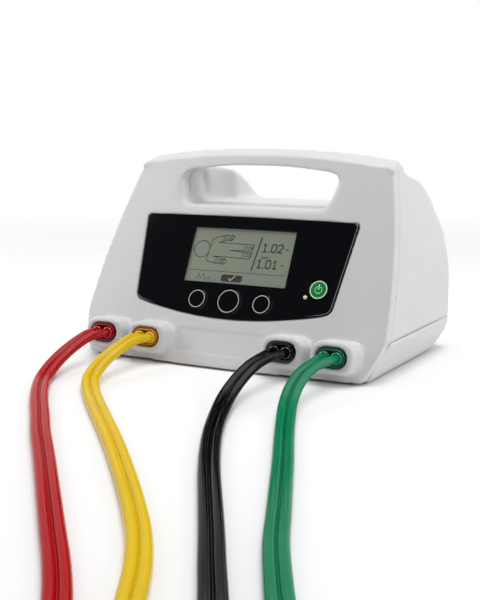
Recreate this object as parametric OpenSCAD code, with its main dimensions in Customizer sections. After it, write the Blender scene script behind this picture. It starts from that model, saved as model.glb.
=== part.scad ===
// Ankle brachial index system: a bench unit with a reclined fascia, a handle
// bar over a scooped recess, a key panel and four twin air hoses.
// Millimetres. X to the right, Y to the rear, Z up, the table at Z = 0.

/* [Housing] */
// Widest width of the housing, low on its sides
body_w = 254; // [240:1:270]
// Width of the housing at its top corners
top_w = 216; // [206:1:224]
// Height of the handle bar's crest
body_h = 159.2; // [155:0.2:166]
// Rise of the crest arch over the top corners
arch_rise = 7.4; // [4:0.2:9]
// Lean of the fascia from upright, in degrees
face_tilt = 26.6; // [24:0.2:29]
// Radius of the fascia's sideways crown
crown_r = 2120; // [1800:20:3000]
// Depth of the housing from the fascia's foot to the middle of the rear
body_d = 178; // [174:1:190]
// Wall thickness of the mouldings
wall = 3; // [2.4:0.1:3.6]
// Depth of the front shell behind its face
seam_depth = 9; // [8:0.5:11]
// Parting gap between the mouldings
parting = 0.3; // [0.2:0.05:0.5]
// Height of the joint between the tray and the shells
tray_top = 27; // [25:0.5:30]
// Height of the tray's underside over the table
ground = 3; // [2.5:0.5:5]

/* [Handle] */
// Width of the handle slot at its bottom
slot_bottom_w = 124; // [110:1:126]
// Width of the handle slot at its top
slot_top_w = 134; // [120:1:136]
// Height of the slot's bottom lip
slot_z = 115.5; // [114:0.5:118]
// Height of the slot's top edge in the middle
slot_top_z = 146.3; // [142:0.2:148]
// Width of the scooped recess behind the slot
recess_w = 92; // [84:1:104]
// Fillet between the recess floor and its side walls
recess_fillet = 6; // [4:1:16]
// Depth of the handle bar from the fascia to its back
bar_depth = 24; // [22:1:28]

/* [Panel] */
// Height of the black panel's top edge
panel_top_z = 108.2; // [106:0.2:110]
// Width of the black panel's top edge
panel_top_w = 183.2; // [176:0.2:186]
// Height of the black panel's bottom corners
panel_corner_z = 45.5; // [44:0.5:48]
// Width between the black panel's bottom corners
panel_bottom_w = 166.4; // [160:0.2:172]
// Height of the lowest point of the panel's curved bottom edge
panel_smile_z = 35.4; // [34.5:0.1:37]
// Thickness of the black panel
panel_t = 2; // [1.6:0.1:2.4]
// How far the black panel stands out of the fascia
panel_proud = 0.5; // [0.3:0.1:0.8]
// Width of the screen window
window_w = 86.6; // [80:0.2:92]
// Height of the screen window along the slope
window_h = 44; // [40:0.2:48]
// Height of the middle of the screen window
window_z = 79.7; // [78:0.1:82]
// Thickness of the clear window
window_t = 1.6; // [1.2:0.1:1.8]

/* [Keys] */
// Diameter of the left and right keys
side_key_d = 16.4; // [14:0.2:18]
// Diameter of the middle key
middle_key_d = 20.2; // [18:0.2:21]
// Diameter of the power button
power_d = 16; // [14:0.2:18]
// Distance of the side keys from the middle
side_key_x = 27.5; // [24:0.5:32]
// Height of the keys on the fascia
key_z = 47.6; // [47:0.2:50]
// Distance of the power button from the middle
power_x = 70.2; // [66:0.2:74]
// Height of the power button on the fascia
power_z = 61; // [58:0.5:66]
// Distance of the status light from the middle
led_x = 61; // [56:0.5:61]
// Height of the status light on the fascia
led_z = 55.2; // [52:0.2:56]
// Diameter of the status light
led_d = 3; // [2:0.2:4]
// How far a key travels when it is pressed
key_travel = 0.6; // [0.4:0.1:0.8]
// Gap all round a key in its aperture
key_gap = 0.25; // [0.15:0.05:0.4]

/* [Ports] */
// Height of the port centres
port_z = 20.2; // [19.5:0.2:22]
// Distance of the inner ports from the middle
inner_port_x = 57; // [54:0.5:58]
// Distance of the outer ports from the middle
outer_port_x = 95.7; // [95:0.1:97]
// Width of a port's oval
port_w = 24; // [21:0.5:25]
// Height of a port's oval
port_h = 15; // [14:0.5:16]
// Width of a port boss
boss_w = 33.5; // [32:0.5:36]
// Height of a port boss
boss_h = 24; // [22:0.5:26]
// How far a boss stands out in front of the fascia at its middle
boss_reach = 14; // [12:0.5:16]
// Lean of a boss's front from upright, in degrees
boss_tilt = 12; // [8:1:16]
// Upward lean of a port's axis, in degrees
port_tilt = 3; // [0:1:6]
// Wall of a port socket
socket_wall = 1.4; // [1.2:0.1:1.8]
// Gap all round a plug in its socket
plug_gap = 0.15; // [0.1:0.05:0.3]

/* [Hoses] */
// Width of the twin hose
hose_w = 12.4; // [11:0.2:14]
// Height of the twin hose
hose_h = 6.2; // [5.4:0.2:7]
// Radial step from one turn of a coil to the next
coil_step = 13.6; // [13:0.1:15]
// Radius at which the inward end of a coil begins
coil_inner_r = 54; // [53:1:60]
// Bend radius of a coil's inward end
coil_end_r = 42; // [41:1:44]
// Length of a hose connector's body
connector_l = 22; // [18:1:24]

/* [Inside] */
// Thickness of the circuit boards
board_t = 1.6; // [1.2:0.2:2]
// Diameter of a pump
pump_d = 27; // [24:0.5:30]
// Length of a pump's motor
motor_l = 32; // [28:1:36]
// Length of a pump's head
pump_head_l = 22; // [18:1:26]
// Width of the battery pack
battery_w = 90; // [80:1:96]
// Depth of the battery pack
battery_d = 42; // [36:1:46]
// Height of the battery pack
battery_h = 19; // [16:0.5:20]
// Diameter of a foot
foot_d = 14; // [12:0.5:16]

/* [Hidden] */

$fn = 64;
cut = 1;
far = 400;
slope = tan(face_tilt);
half_w = body_w / 2;
wide_z = 29;
foot_x = half_w - 12;
foot_z = 1.8;

// Circle through three points, walked from the first to the last in n steps
function circle_centre(a, b, c) =
    let (d = 2 * (a.x * (b.y - c.y) + b.x * (c.y - a.y) + c.x * (a.y - b.y)))
    [
        ((a * a) * (b.y - c.y) + (b * b) * (c.y - a.y) + (c * c) * (a.y - b.y)) / d,
        ((a * a) * (c.x - b.x) + (b * b) * (a.x - c.x) + (c * c) * (b.x - a.x)) / d
    ];
function turn_left(angle) = angle < 0 ? angle + 360 : angle;
function arc3(a, b, c, n) =
    let (
        o = circle_centre(a, b, c),
        r = norm(a - o),
        t0 = atan2(a.y - o.y, a.x - o.x),
        t1 = atan2(c.y - o.y, c.x - o.x),
        left = cross(b - a, c - b) > 0,
        sweep = left ? turn_left(t1 - t0) : -turn_left(t0 - t1)
    )
    [for (i = [0 : n]) o + r * [cos(t0 + sweep * i / n), sin(t0 + sweep * i / n)]];
function mirrored(half) = concat(half, [for (i = [len(half) - 1 : -1 : 0]) [-half[i].x, half[i].y]]);

// Front view outline of the housing, right half from the foot to the crest
top_corner_z = body_h - arch_rise;
side_top_z = top_corner_z - 9;
housing_half = concat(
    arc3([foot_x, foot_z], [half_w - 5.4, 15], [half_w, wide_z], 4),
    arc3([half_w, wide_z + 1], [half_w - 5.5, wide_z + 55], [top_w / 2 + 0.6, side_top_z], 14),
    arc3([top_w / 2 + 0.3, side_top_z + 2], [top_w / 2 - 1.6, top_corner_z - 2.4], [top_w / 2 - 8, top_corner_z + 0.4], 5),
    arc3([top_w / 2 - 11, top_corner_z + 0.8], [52, body_h - 1.6], [2, body_h], 8)
);

// Side view of the shells, from the bar's crest down the shoulder to the rear
slot_y = slot_top_z * slope;
bar_back = slot_y + bar_depth;
shoulder_z = 143;
shell_side = concat(
    [[-60, 0], [body_d, 0], [body_d, tray_top]],
    arc3([body_d, 58], [body_d - 3, 84], [body_d - 12, 104.5], 6),
    arc3([body_d - 15, 109], [body_d - 35, 126], [bar_back + 9, shoulder_z - 3], 9),
    arc3([bar_back + 5, shoulder_z - 1.6], [bar_back + 1.2, shoulder_z + 0.6], [bar_back, shoulder_z + 4], 3),
    arc3([bar_back - 0.3, shoulder_z + 6], [bar_back - 2.8, body_h - 5.4], [bar_back - 9, body_h - 0.6], 5),
    [[slot_y + 10, body_h + 4], [-60, body_h + 4]]
);

// Section of the shoulders behind the bar, rolled over at their outer edges, right half
shoulder_fall = 24;
roll_half = concat(
    [[half_w + 40, 0]],
    arc3([top_w / 2 + 6, shoulder_z - 16], [top_w / 2 - 3, shoulder_z - 1], [top_w / 2 - 22, shoulder_z + 9], 8),
    [[1, shoulder_z + 40]]
);

// Plan view of the shells and the tray, right half
side_bulge = 1.5;
plan_half = concat(
    [[half_w - 1, -60]],
    arc3([half_w, 10], [half_w + side_bulge, 80], [half_w - 0.4, body_d - 30], 8),
    arc3([half_w - 1, body_d - 25], [half_w - 5.5, body_d - 12.5], [half_w - 19, body_d - 5.8], 6),
    arc3([half_w - 25, body_d - 5.2], [50, body_d - 1.2], [1, body_d], 7)
);

// Front view of the tray, drawn in towards its rim
rim_z = 1.2;
below = -20;
tray_half = concat(
    [[half_w - 10.5, below], [half_w - 10.5, rim_z]],
    arc3([half_w - 8.6, ground + 2], [half_w - 4.5, ground + 15], [half_w + 2, tray_top], 5),
    [[half_w + 2, tray_top + 10]]
);
// Side view of the tray, its rear foot drawn in
tray_side = concat(
    [[-60, below], [body_d - 18, below], [body_d - 18, rim_z]],
    arc3([body_d - 15, ground + 1], [body_d - 6, ground + 10], [body_d - 1.5, tray_top], 5),
    [[body_d - 1.5, tray_top + 10], [-60, tray_top + 10]]
);
// Side view of the tray in a slanting direction, where its rear corners round off towards the rim
rim_corner_r = 34;
top_corner_r = 19;
function corner_reach(x, y, r, turn) = (x - r) * cos(turn) + (y - r) * sin(turn) + r;
function tray_corner(turn) =
    let (
        low = corner_reach(half_w - 9, body_d - 16, rim_corner_r, turn),
        high = corner_reach(half_w + 2, body_d, top_corner_r, turn)
    )
    concat(
        [[-far, below], [low, below]],
        arc3([low + 0.1, rim_z], [low + 0.62 * (high - low), ground + 8], [high + 1, tray_top], 5),
        [[high + 1, tray_top + 10], [-far, tray_top + 10]]
    );

// Handle slot, front view
slot_half = concat(
    [[slot_bottom_w / 2 - 10, slot_z]],
    arc3([slot_bottom_w / 2 - 6, slot_z], [slot_bottom_w / 2 - 2, slot_z + 1.2], [slot_bottom_w / 2 + 0.4, slot_z + 4], 4),
    arc3([slot_top_w / 2 - 0.6, slot_top_z - 12], [slot_top_w / 2 - 0.8, slot_top_z - 7.4], [slot_top_w / 2 - 5, slot_top_z - 4.6], 4),
    arc3([slot_top_w / 2 - 9, slot_top_z - 3.6], [32, slot_top_z - 0.8], [1, slot_top_z], 5)
);

// Black panel outline on the slope, right half, heights given as seen from the front
function up_slope(z) = z / cos(face_tilt);
panel_half = concat(
    arc3([1, up_slope(panel_smile_z)], [40, up_slope(panel_smile_z + 2.3)],
         [panel_bottom_w / 2 - 6, up_slope(panel_corner_z - 1.6)], 8),
    arc3([panel_bottom_w / 2 - 4, up_slope(panel_corner_z - 0.9)], [panel_bottom_w / 2 - 1, up_slope(panel_corner_z + 1)],
         [panel_bottom_w / 2 + 0.4, up_slope(panel_corner_z + 4)], 4),
    arc3([panel_top_w / 2 - 0.5, up_slope(panel_top_z - 2.6)], [panel_top_w / 2 - 1.2, up_slope(panel_top_z - 0.8)],
         [panel_top_w / 2 - 3.4, up_slope(panel_top_z)], 4)
);

// Screen, boards and keys, counted inwards from the fascia
window_seat = panel_t - panel_proud;
module_w = window_w + 9;
module_h = window_h + 2;
board_w = 164;
board_depth = 12;
KEYS = ["left", "middle", "right", "power"];
board_low = up_slope(key_z) - 9;
board_high = up_slope(window_z) + window_h / 2 + 6;
key_rise = 0.4;
flange_t = 1;
flange_lip = 1.4;
flange_gap = 0.7;
stem_d = 6;
switch_h = 3;

// Ports, from the boss front inwards
boss_r = 9;
boss_round = 3;
boss_y = port_z * slope - boss_reach;
socket_l = 26;
socket_set = 1.4;
plug_in = 15;
plug_out = 3;
plug_w = port_w - 2 * socket_wall - 2 * plug_gap;
plug_h = port_h - 2 * socket_wall - 2 * plug_gap;
PORT_X = [-outer_port_x, -inner_port_x, inner_port_x, outer_port_x];
HOSE_COLOR = ["firebrick", "goldenrod", "dimgray", "seagreen"];

// Plan of the inside
floor_z = ground + wall;
board_z = 50;
post_d = 8;
screw_d = 3;
rear_screw_y = body_d - 31;
rear_foot_y = rear_screw_y - 4;
SCREWS = [[-104, 104], [104, 104], [-95, rear_screw_y], [95, rear_screw_y]];
sensor_pitch = 32;
sensor_y = 72;
valve_pitch = 24;
STANDOFFS = [[-66, 64], [66, 64], [-66, 146], [66, 146]];
FEET = [[-98, 40], [98, 40], [-95, rear_foot_y], [95, rear_foot_y]];
pump_x = 84;
pump_y = 84;
cradle_h = 3;
pump_z = floor_z + cradle_h + pump_d / 2;
manifold_w = 100;
manifold_d = 20;
manifold_h = 14;
manifold_y = 38;
battery_y = 120;
door_w = battery_w + 6;
door_d = battery_d + 6;
door_t = 2.2;
door_lip = 3;
fit_gap = 0.3;
inlet_x = -30;
data_x = 30;
rear_socket_z = 42;

// The origin is moved to the middle of the footprint
boss_front_y = boss_y - boss_h / 2 * tan(boss_tilt);
origin_y = (body_d + boss_front_y) / 2;

module in_frame() {
    translate([0, -origin_y, 0]) children();
}

// Local Y runs up the slope and local Z out of the fascia
module on_face(x, z) {
    translate([x, z * slope, z]) rotate([90 - face_tilt, 0, 0]) children();
}

function crown(x) = x * x / (2 * crown_r);

// Everything behind the crowned fascia moved in by a depth
module behind_face(depth) {
    on_face(0, 0)
        translate([0, 0, -crown_r - depth])
        rotate([90, 0, 0])
        cylinder(r = crown_r, h = 2 * far, center = true, $fn = 720);
}

module front_view_prism(points, inset = 0) {
    translate([0, far, 0]) rotate([90, 0, 0]) linear_extrude(2 * far) offset(delta = -inset) polygon(points);
}

module side_view_prism(points, inset = 0) {
    translate([-far, 0, 0]) rotate([90, 0, 90]) linear_extrude(2 * far) offset(delta = -inset) polygon(points);
}

module plan_prism(inset = 0, z0 = 0, z1 = far) {
    translate([0, 0, z0]) linear_extrude(z1 - z0) offset(delta = -inset) polygon(mirrored(plan_half));
}

module oval(w, h) {
    square([w - h, h], center = true);
    for (side = [-1, 1]) translate([side * (w - h) / 2, 0]) circle(d = h);
}

module rounded(w, h, r) {
    square([w - 2 * r, h], center = true);
    square([w, h - 2 * r], center = true);
    for (x = [-1, 1], y = [-1, 1]) translate([x * (w / 2 - r), y * (h / 2 - r)]) circle(r = r);
}

// Housing solids shared by the two shells
module shells_envelope(inset) {
    intersection() {
        front_view_prism(mirrored(housing_half), inset);
        side_view_prism(shell_side, inset);
        plan_prism(inset);
        union() {
            translate([-far, -far, -far]) cube([2 * far, far + bar_back, 2 * far]);
            translate([0, bar_back, 0]) rotate([90 - shoulder_fall, 0, 0])
                translate([0, 0, -far]) linear_extrude(2 * far) offset(delta = -inset) polygon(mirrored(roll_half));
        }
    }
}

module slot_prism(grow) {
    front_view_prism(mirrored(slot_half), -grow);
}

// The slot runs through the bar, flares inwards behind it and opens into the scooped recess
flare_l = 24;
flare_half = concat(
    [[slot_bottom_w / 2 - 1, bar_back - 6]],
    arc3([slot_bottom_w / 2 - 1, bar_back], [slot_bottom_w / 2 - 5, bar_back + 10],
         [recess_w / 2 - 0.5, bar_back + flare_l], 6)
);
module recess(grow) {
    intersection() {
        slot_prism(grow);
        translate([-far, -far, 0]) cube([2 * far, far + bar_back + cut + grow, far]);
    }
    translate([0, 0, slot_z - grow]) linear_extrude(60) offset(delta = grow) polygon(mirrored(flare_half));
    translate([0, far, slot_z - grow]) rotate([90, 0, 0]) linear_extrude(far - bar_back - 2)
        translate([0, 40]) rounded(recess_w + 2 * grow, 80, recess_fillet + grow);
}

module on_port(x) {
    translate([x, boss_y, port_z]) rotate([90 - port_tilt, 0, 0]) children();
}

module boss_layer(depth, inset) {
    translate([0, 0, -depth]) linear_extrude(0.1)
        rounded(boss_w - 2 * inset, boss_h - 2 * inset, boss_r - inset, $fn = 32);
}

module boss(x) {
    difference() {
        translate([x, boss_y, port_z]) rotate([90 - boss_tilt, 0, 0])
            hull() {
                boss_layer(0.1, boss_round);
                boss_layer(boss_round * 0.3, boss_round * 0.3);
                boss_layer(boss_round, 0);
                boss_layer(30, 0);
            }
        behind_face(wall / 2);
    }
}

// The reclined front moulding with its bar, slot, bosses and panel seat
module front_shell() {
    color("gainsboro")
    in_frame()
    difference() {
        union() {
            difference() {
                intersection() {
                    front_view_prism(mirrored(housing_half));
                    behind_face(0);
                }
                behind_face(seam_depth);
                difference() {
                    intersection() {
                        front_view_prism(mirrored(housing_half), wall);
                        behind_face(wall);
                    }
                    slot_prism(wall);
                }
            }
            for (x = PORT_X) boss(x);
            panel_posts();
        }
        slot_prism(0);
        panel_seat();
        for (x = PORT_X) on_port(x) translate([0, 0, -40]) linear_extrude(80) oval(port_w, port_h);
    }
}

// Posts inside the fascia that the keypad board stands on
module panel_posts() {
    difference() {
        for (x = [-1, 1], v = [board_low + 4, board_high - 4])
            on_face(0, 0) translate([x * (board_w / 2 - 5), v, -board_depth + 0.05])
                cylinder(d = 6, h = board_depth - wall / 2);
        on_face(0, 0) translate([-far, -far, 0]) cube([2 * far, 2 * far, far]);
    }
}

module panel_seat() {
    on_face(0, 0) {
        difference() {
            translate([0, 0, -20]) linear_extrude(40) offset(delta = parting) polygon(mirrored(panel_half));
            translate([0, 0, -crown_r - window_seat]) rotate([90, 0, 0])
                cylinder(r = crown_r, h = 2 * far, center = true, $fn = 720);
        }
        translate([0, up_slope(window_z), -10]) linear_extrude(20) square([window_w - 4, window_h - 4], center = true);
        translate([led_x, up_slope(led_z), -10]) cylinder(d = led_d + 1, h = 20);
    }
    for (k = KEYS) key_place(k) translate([0, 0, -12]) cylinder(d = key_size(k) + 2 * key_gap + 0.6, h = 24);
}

// Where each key sits and how wide it is
function key_x(name) = name == "left" ? -side_key_x : name == "right" ? side_key_x : name == "power" ? power_x : 0;
function key_height(name) = name == "power" ? power_z : key_z;
function key_size(name) = name == "middle" ? middle_key_d : name == "power" ? power_d : side_key_d;
module key_place(name) {
    on_face(0, 0) translate([key_x(name), up_slope(key_height(name)), -crown(key_x(name))]) children();
}

// The rear cover with its shoulders and the scooped recess behind the slot
module rear_shell() {
    color("whitesmoke")
    in_frame()
    difference() {
        union() {
            difference() {
                intersection() {
                    shells_envelope(0);
                    behind_face(seam_depth + parting);
                    translate([-far, -far, tray_top + parting]) cube([2 * far, 2 * far, far]);
                }
                difference() {
                    intersection() {
                        shells_envelope(wall);
                        behind_face(wall);
                    }
                    recess(wall);
                }
            }
            intersection() {
                for (p = SCREWS) translate([p.x, p.y, floor_z + fit_gap]) cylinder(d = post_d, h = far);
                shells_envelope(wall / 2);
                behind_face(seam_depth + parting);
            }
        }
        recess(0);
        for (p = SCREWS) translate([p.x, p.y, 0]) cylinder(d = screw_d, h = floor_z + 12);
        translate([inlet_x, body_d, rear_socket_z]) rotate([90, 0, 0]) cylinder(d = 11, h = 30, center = true);
        translate([data_x, body_d, rear_socket_z]) cube([12.4, 30, 8.4], center = true);
    }
}

module rounded_corner(turn, inset) {
    intersection() {
        rotate([0, 0, turn - 90]) side_view_prism(tray_corner(turn), inset);
        mirror([1, 0, 0]) rotate([0, 0, turn - 90]) side_view_prism(tray_corner(turn), inset);
    }
}

module tray_envelope(inset, z0) {
    intersection() {
        front_view_prism(mirrored(tray_half), inset);
        side_view_prism(tray_side, inset);
        rounded_corner(22.5, inset);
        rounded_corner(45, inset);
        rounded_corner(67.5, inset);
        plan_prism(inset);
        behind_face(seam_depth + parting + inset);
        translate([-far, -far, z0]) cube([2 * far, 2 * far, tray_top - z0]);
    }
}

// The lower tray that everything heavy is screwed to
module base_tray() {
    color("lightgray")
    in_frame()
    difference() {
        union() {
            difference() {
                tray_envelope(0, rim_z);
                intersection() {
                    tray_envelope(wall, ground);
                    translate([-far, -far, floor_z]) cube([2 * far, 2 * far, far]);
                }
                intersection() {
                    tray_envelope(wall, below);
                    translate([-far, -far, ground - far]) cube([2 * far, 2 * far, far]);
                }
                translate([-far, -far, tray_top - 0.01]) cube([2 * far, 2 * far, far]);
            }
            for (p = STANDOFFS) translate([p.x, p.y, floor_z - 0.5]) cylinder(d = post_d, h = board_z - floor_z + 0.5);
        }
        for (p = SCREWS) {
            translate([p.x, p.y, 0]) cylinder(d = screw_d + 0.4, h = 20);
            translate([p.x, p.y, 0]) cylinder(d = 6.6, h = ground + 1.5);
        }
        for (p = STANDOFFS) translate([p.x, p.y, board_z - 10]) cylinder(d = screw_d - 0.5, h = 20);
        translate([0, battery_y, 0]) {
            translate([-door_w / 2, -door_d / 2, 0]) cube([door_w, door_d, ground + door_t + fit_gap]);
            translate([-door_w / 2 + door_lip, -door_d / 2 + door_lip, 0])
                cube([door_w - 2 * door_lip, door_d - 2 * door_lip, 30]);
        }
        for (x = PORT_X) on_port(x) translate([0, 0, -40]) linear_extrude(40) {
            oval(port_w + 2 * fit_gap, port_h + 2 * fit_gap);
            translate([-port_w / 2 - fit_gap, 0]) square([port_w + 2 * fit_gap, port_h]);
        }
    }
}

// Glossy black panel over the fascia
module display_panel() {
    color("black")
    in_frame()
    difference() {
        on_face(0, 0)
        intersection() {
            translate([0, 0, -20]) linear_extrude(40) polygon(mirrored(panel_half));
            difference() {
                translate([0, 0, -crown_r + panel_proud]) rotate([90, 0, 0])
                    cylinder(r = crown_r, h = 2 * far, center = true, $fn = 720);
                translate([0, 0, -crown_r - window_seat + 0.02]) rotate([90, 0, 0])
                    cylinder(r = crown_r, h = 3 * far, center = true, $fn = 720);
            }
        }
        on_face(0, 0) {
            translate([0, up_slope(window_z), -10]) linear_extrude(20) square([window_w, window_h], center = true);
            translate([led_x, up_slope(led_z), -10]) cylinder(d = led_d + 0.2, h = 20);
        }
        for (k = KEYS) key_place(k) translate([0, 0, -12]) cylinder(d = key_size(k) + 2 * key_gap, h = 24);
    }
}

module screen_window() {
    color("darkseagreen", 0.6)
    in_frame()
    on_face(0, 0) translate([0, up_slope(window_z), -window_seat]) linear_extrude(window_t)
        square([window_w - 0.2, window_h - 0.2], center = true);
}

module screen_module() {
    color("olivedrab")
    in_frame()
    on_face(0, 0) translate([0, up_slope(window_z), -board_depth + 0.05]) {
        linear_extrude(board_depth - wall - 1.2) square([module_w, module_h], center = true);
        linear_extrude(board_depth - window_seat - 0.3) square([window_w - 5, window_h - 5], center = true);
    }
}

// The board behind the fascia that carries the screen and the switches
module keypad_board() {
    color("darkgreen")
    in_frame()
    on_face(0, 0) translate([0, 0, -board_depth - board_t]) linear_extrude(board_t)
        translate([-board_w / 2, board_low]) square([board_w, board_high - board_low]);
}

module key_switches() {
    color("silver")
    in_frame()
    for (k = KEYS)
        on_face(0, 0) translate([key_x(k), up_slope(key_height(k)), -board_depth]) {
            translate([-3, -3, 0.02]) cube([6, 6, switch_h - 0.5]);
            cylinder(d = 3.4, h = switch_h);
        }
}

// A key: a low crowned cap, a flange behind the fascia and a stem to its switch
module key(name) {
    d = key_size(name);
    stem_low = -board_depth + switch_h + key_travel + 0.1 + crown(key_x(name));
    color(name == "power" ? "limegreen" : "black")
    in_frame()
    key_place(name) {
        rotate_extrude($fn = 96) polygon(concat(
            [[0, stem_low], [stem_d / 2, stem_low], [stem_d / 2, -wall - flange_gap - flange_t],
             [d / 2 + flange_lip, -wall - flange_gap - flange_t], [d / 2 + flange_lip, -wall - flange_gap],
             [d / 2, -wall - flange_gap]],
            [[d / 2, panel_proud + key_rise - 0.5], [d / 2 - 0.5, panel_proud + key_rise]],
            [[0, panel_proud + key_rise]]));
    }
}

module key_left() { key("left"); }
module key_middle() { key("middle"); }
module key_right() { key("right"); }
module power_button() { key("power"); }

module status_light() {
    color("cornsilk")
    in_frame()
    on_face(0, 0) translate([led_x, up_slope(led_z), -board_depth + 0.02])
        cylinder(d = led_d, h = board_depth + panel_proud - crown(led_x));
}

// Oval socket in a boss, with two barbs inside for the air tubes
module port(i) {
    color(HOSE_COLOR[i])
    in_frame()
    on_port(PORT_X[i]) {
        difference() {
            translate([0, 0, -socket_set - socket_l]) linear_extrude(socket_l) oval(port_w - 0.1, port_h - 0.1);
            translate([0, 0, -plug_in - 2]) linear_extrude(40)
                oval(port_w - 2 * socket_wall, port_h - 2 * socket_wall);
        }
        for (side = [-1, 1]) translate([side * barb_x, 0, -socket_set - socket_l - barb_l]) cylinder(d = 4, h = barb_l + 1);
    }
}
barb_x = 4.5;
barb_l = 6;

module port_red() { port(0); }
module port_yellow() { port(1); }
module port_black() { port(2); }
module port_green() { port(3); }

// Oval moulded plug on the end of each hose
module plug(i) {
    color(HOSE_COLOR[i])
    in_frame()
    on_port(PORT_X[i]) {
        translate([0, 0, -plug_in]) linear_extrude(plug_in + plug_out - 1) oval(plug_w, plug_h);
        translate([0, 0, plug_out - 1.01]) linear_extrude(1.01) oval(plug_w - 1.4, plug_h - 1.4);
    }
}

module plug_red() { plug(0); }
module plug_yellow() { plug(1); }
module plug_black() { plug(2); }
module plug_green() { plug(3); }

// Twin hose section, seen along the hose: two tubes side by side with a groove
function twin_section(w, h) = [
    [w / 2, 0], [0.41 * w, 0.38 * h], [w / 4, h / 2], [0, 0.28 * h], [-w / 4, h / 2], [-0.41 * w, 0.38 * h],
    [-w / 2, 0], [-0.41 * w, -0.38 * h], [-w / 4, -h / 2], [0, -0.28 * h], [w / 4, -h / 2], [0.41 * w, -0.38 * h]
];
function flat_section(w, h) = [
    [w / 2, 0], [w / 4, h / 2], [-w / 4, h / 2], [-w / 2, 0], [-w / 4, -h / 2], [w / 4, -h / 2]
];

function unit(v) = v / norm(v);
// Direction of a route at point i: the mean of its two sides, or its end side
function heading(path, i) =
    i == 0 ? unit(path[1] - path[0])
    : i == len(path) - 1 ? unit(path[i] - path[i - 1])
    : unit(unit(path[i] - path[i - 1]) + unit(path[i + 1] - path[i]));
// A ring of the section set square to the route, its width kept level
function ring(path, i, section, last) =
    let (
        t = i == len(path) - 1 && norm(last) > 0 ? last : heading(path, i),
        side = unit(cross(t, [0, 0, 1])),
        up = cross(side, t)
    )
    [for (p = section) path[i] + p.x * side + p.y * up];

module sweep(path, section, last = [0, 0, 0]) {
    n = len(section);
    rows = len(path);
    points = [for (i = [0 : rows - 1]) each ring(path, i, section, last)];
    sides = [
        for (i = [0 : rows - 2], j = [0 : n - 1])
            let (a = i * n + j, b = i * n + (j + 1) % n)
            each [[a, b, b + n], [a, b + n, a + n]]
    ];
    start_cap = [for (j = [1 : n - 2]) [0, j + 1, j]];
    end_cap = [for (j = [1 : n - 2]) [(rows - 1) * n, (rows - 1) * n + j, (rows - 1) * n + j + 1]];
    polyhedron(points = points, faces = concat(sides, start_cap, end_cap), convexity = 10);
}

// Where a hose leaves its plug, and the way it points there
hose_exit_y = boss_y - plug_out * cos(port_tilt);
hose_exit_z = port_z + plug_out * sin(port_tilt);
function hose_start(i) = [
    [PORT_X[i], hose_exit_y, hose_exit_z],
    [PORT_X[i], hose_exit_y - hose_w * cos(port_tilt), hose_exit_z + hose_w * sin(port_tilt)]
];
// Free routes over the table, in round numbers from the ports to the coils
ROUTES = [
    [[-95, -44, 16], [-92, -68, 9], [-84, -90, 4], [-68, -114, 3.5], [-47, -141, 3.5], [-26, -166, 3.5],
     [-2, -195, 3.5], [26, -227, 3.5], [52, -257, 3.5], [77, -286, 3.5], [102, -315, 3.5], [127, -344, 3.5],
     [150, -373, 3.5], [168, -399, 3.5], [180, -418, 3.5], [190, -436, 4]],
    [[-56, -40, 18], [-55, -62, 12], [-48, -84, 6], [-33, -104, 3.5], [-10, -130, 3.5], [15, -157, 3.5],
     [40, -184, 3.5], [65, -212, 3.5], [90, -241, 3.5], [115, -271, 3.5], [139, -302, 3.5], [158, -331, 3.5],
     [173, -358, 3.5], [185, -380, 4.5], [196, -400, 7.5], [204, -413, 10.5], [211, -425, 12]],
    [[56, -40, 19], [57, -62, 14], [61, -86, 8], [70, -112, 4], [86, -147, 3.5], [105, -183, 3.5],
     [124, -216, 3.5], [144, -249, 3.5], [164, -282, 3.5], [183, -314, 3.5], [201, -344, 3.5], [213, -366, 3.5],
     [224, -385, 4.5], [232, -400, 7.5], [239, -412, 10.5],
     [246, -424, 12]],
    [[95, -40, 19], [97, -61, 14], [103, -83, 8], [114, -109, 4], [130, -143, 3.5], [147, -178, 3.5],
     [163, -212, 3.5], [179, -246, 3.5], [195, -280, 3.5], [211, -310, 3.5], [225, -335, 3.5], [238, -357, 3.5],
     [250, -378, 3.5], [260, -396, 3.5], [270, -413, 4]]
];
// Turns of each spiral and the way it winds: 1 to the left, -1 to the right
COIL_TURNS = [1.93, 1.96, 2.05, 2.08];
COIL_SIDE = [-1, -1, 1, 1];
COIL_HEADING = [-61, -61, -61, -61];
// The yellow and black coils lie on the red and green ones
COIL_Z = [4.2, 12, 12, 4.2];
TIE_ANGLE = [150, 100, 100, 150];
rings_per_turn = 24;

// A spiral that winds in from the route's end, then turns inwards and straightens
function coil_start(i) = let (r = ROUTES[i]) r[len(r) - 1];
function coil_forward(i) = [cos(COIL_HEADING[i]), sin(COIL_HEADING[i]), 0];
function coil_sideways(i) = COIL_SIDE[i] * [-sin(COIL_HEADING[i]), cos(COIL_HEADING[i]), 0];
function coil_outer_r(i) = coil_inner_r + coil_step * COIL_TURNS[i];
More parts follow.
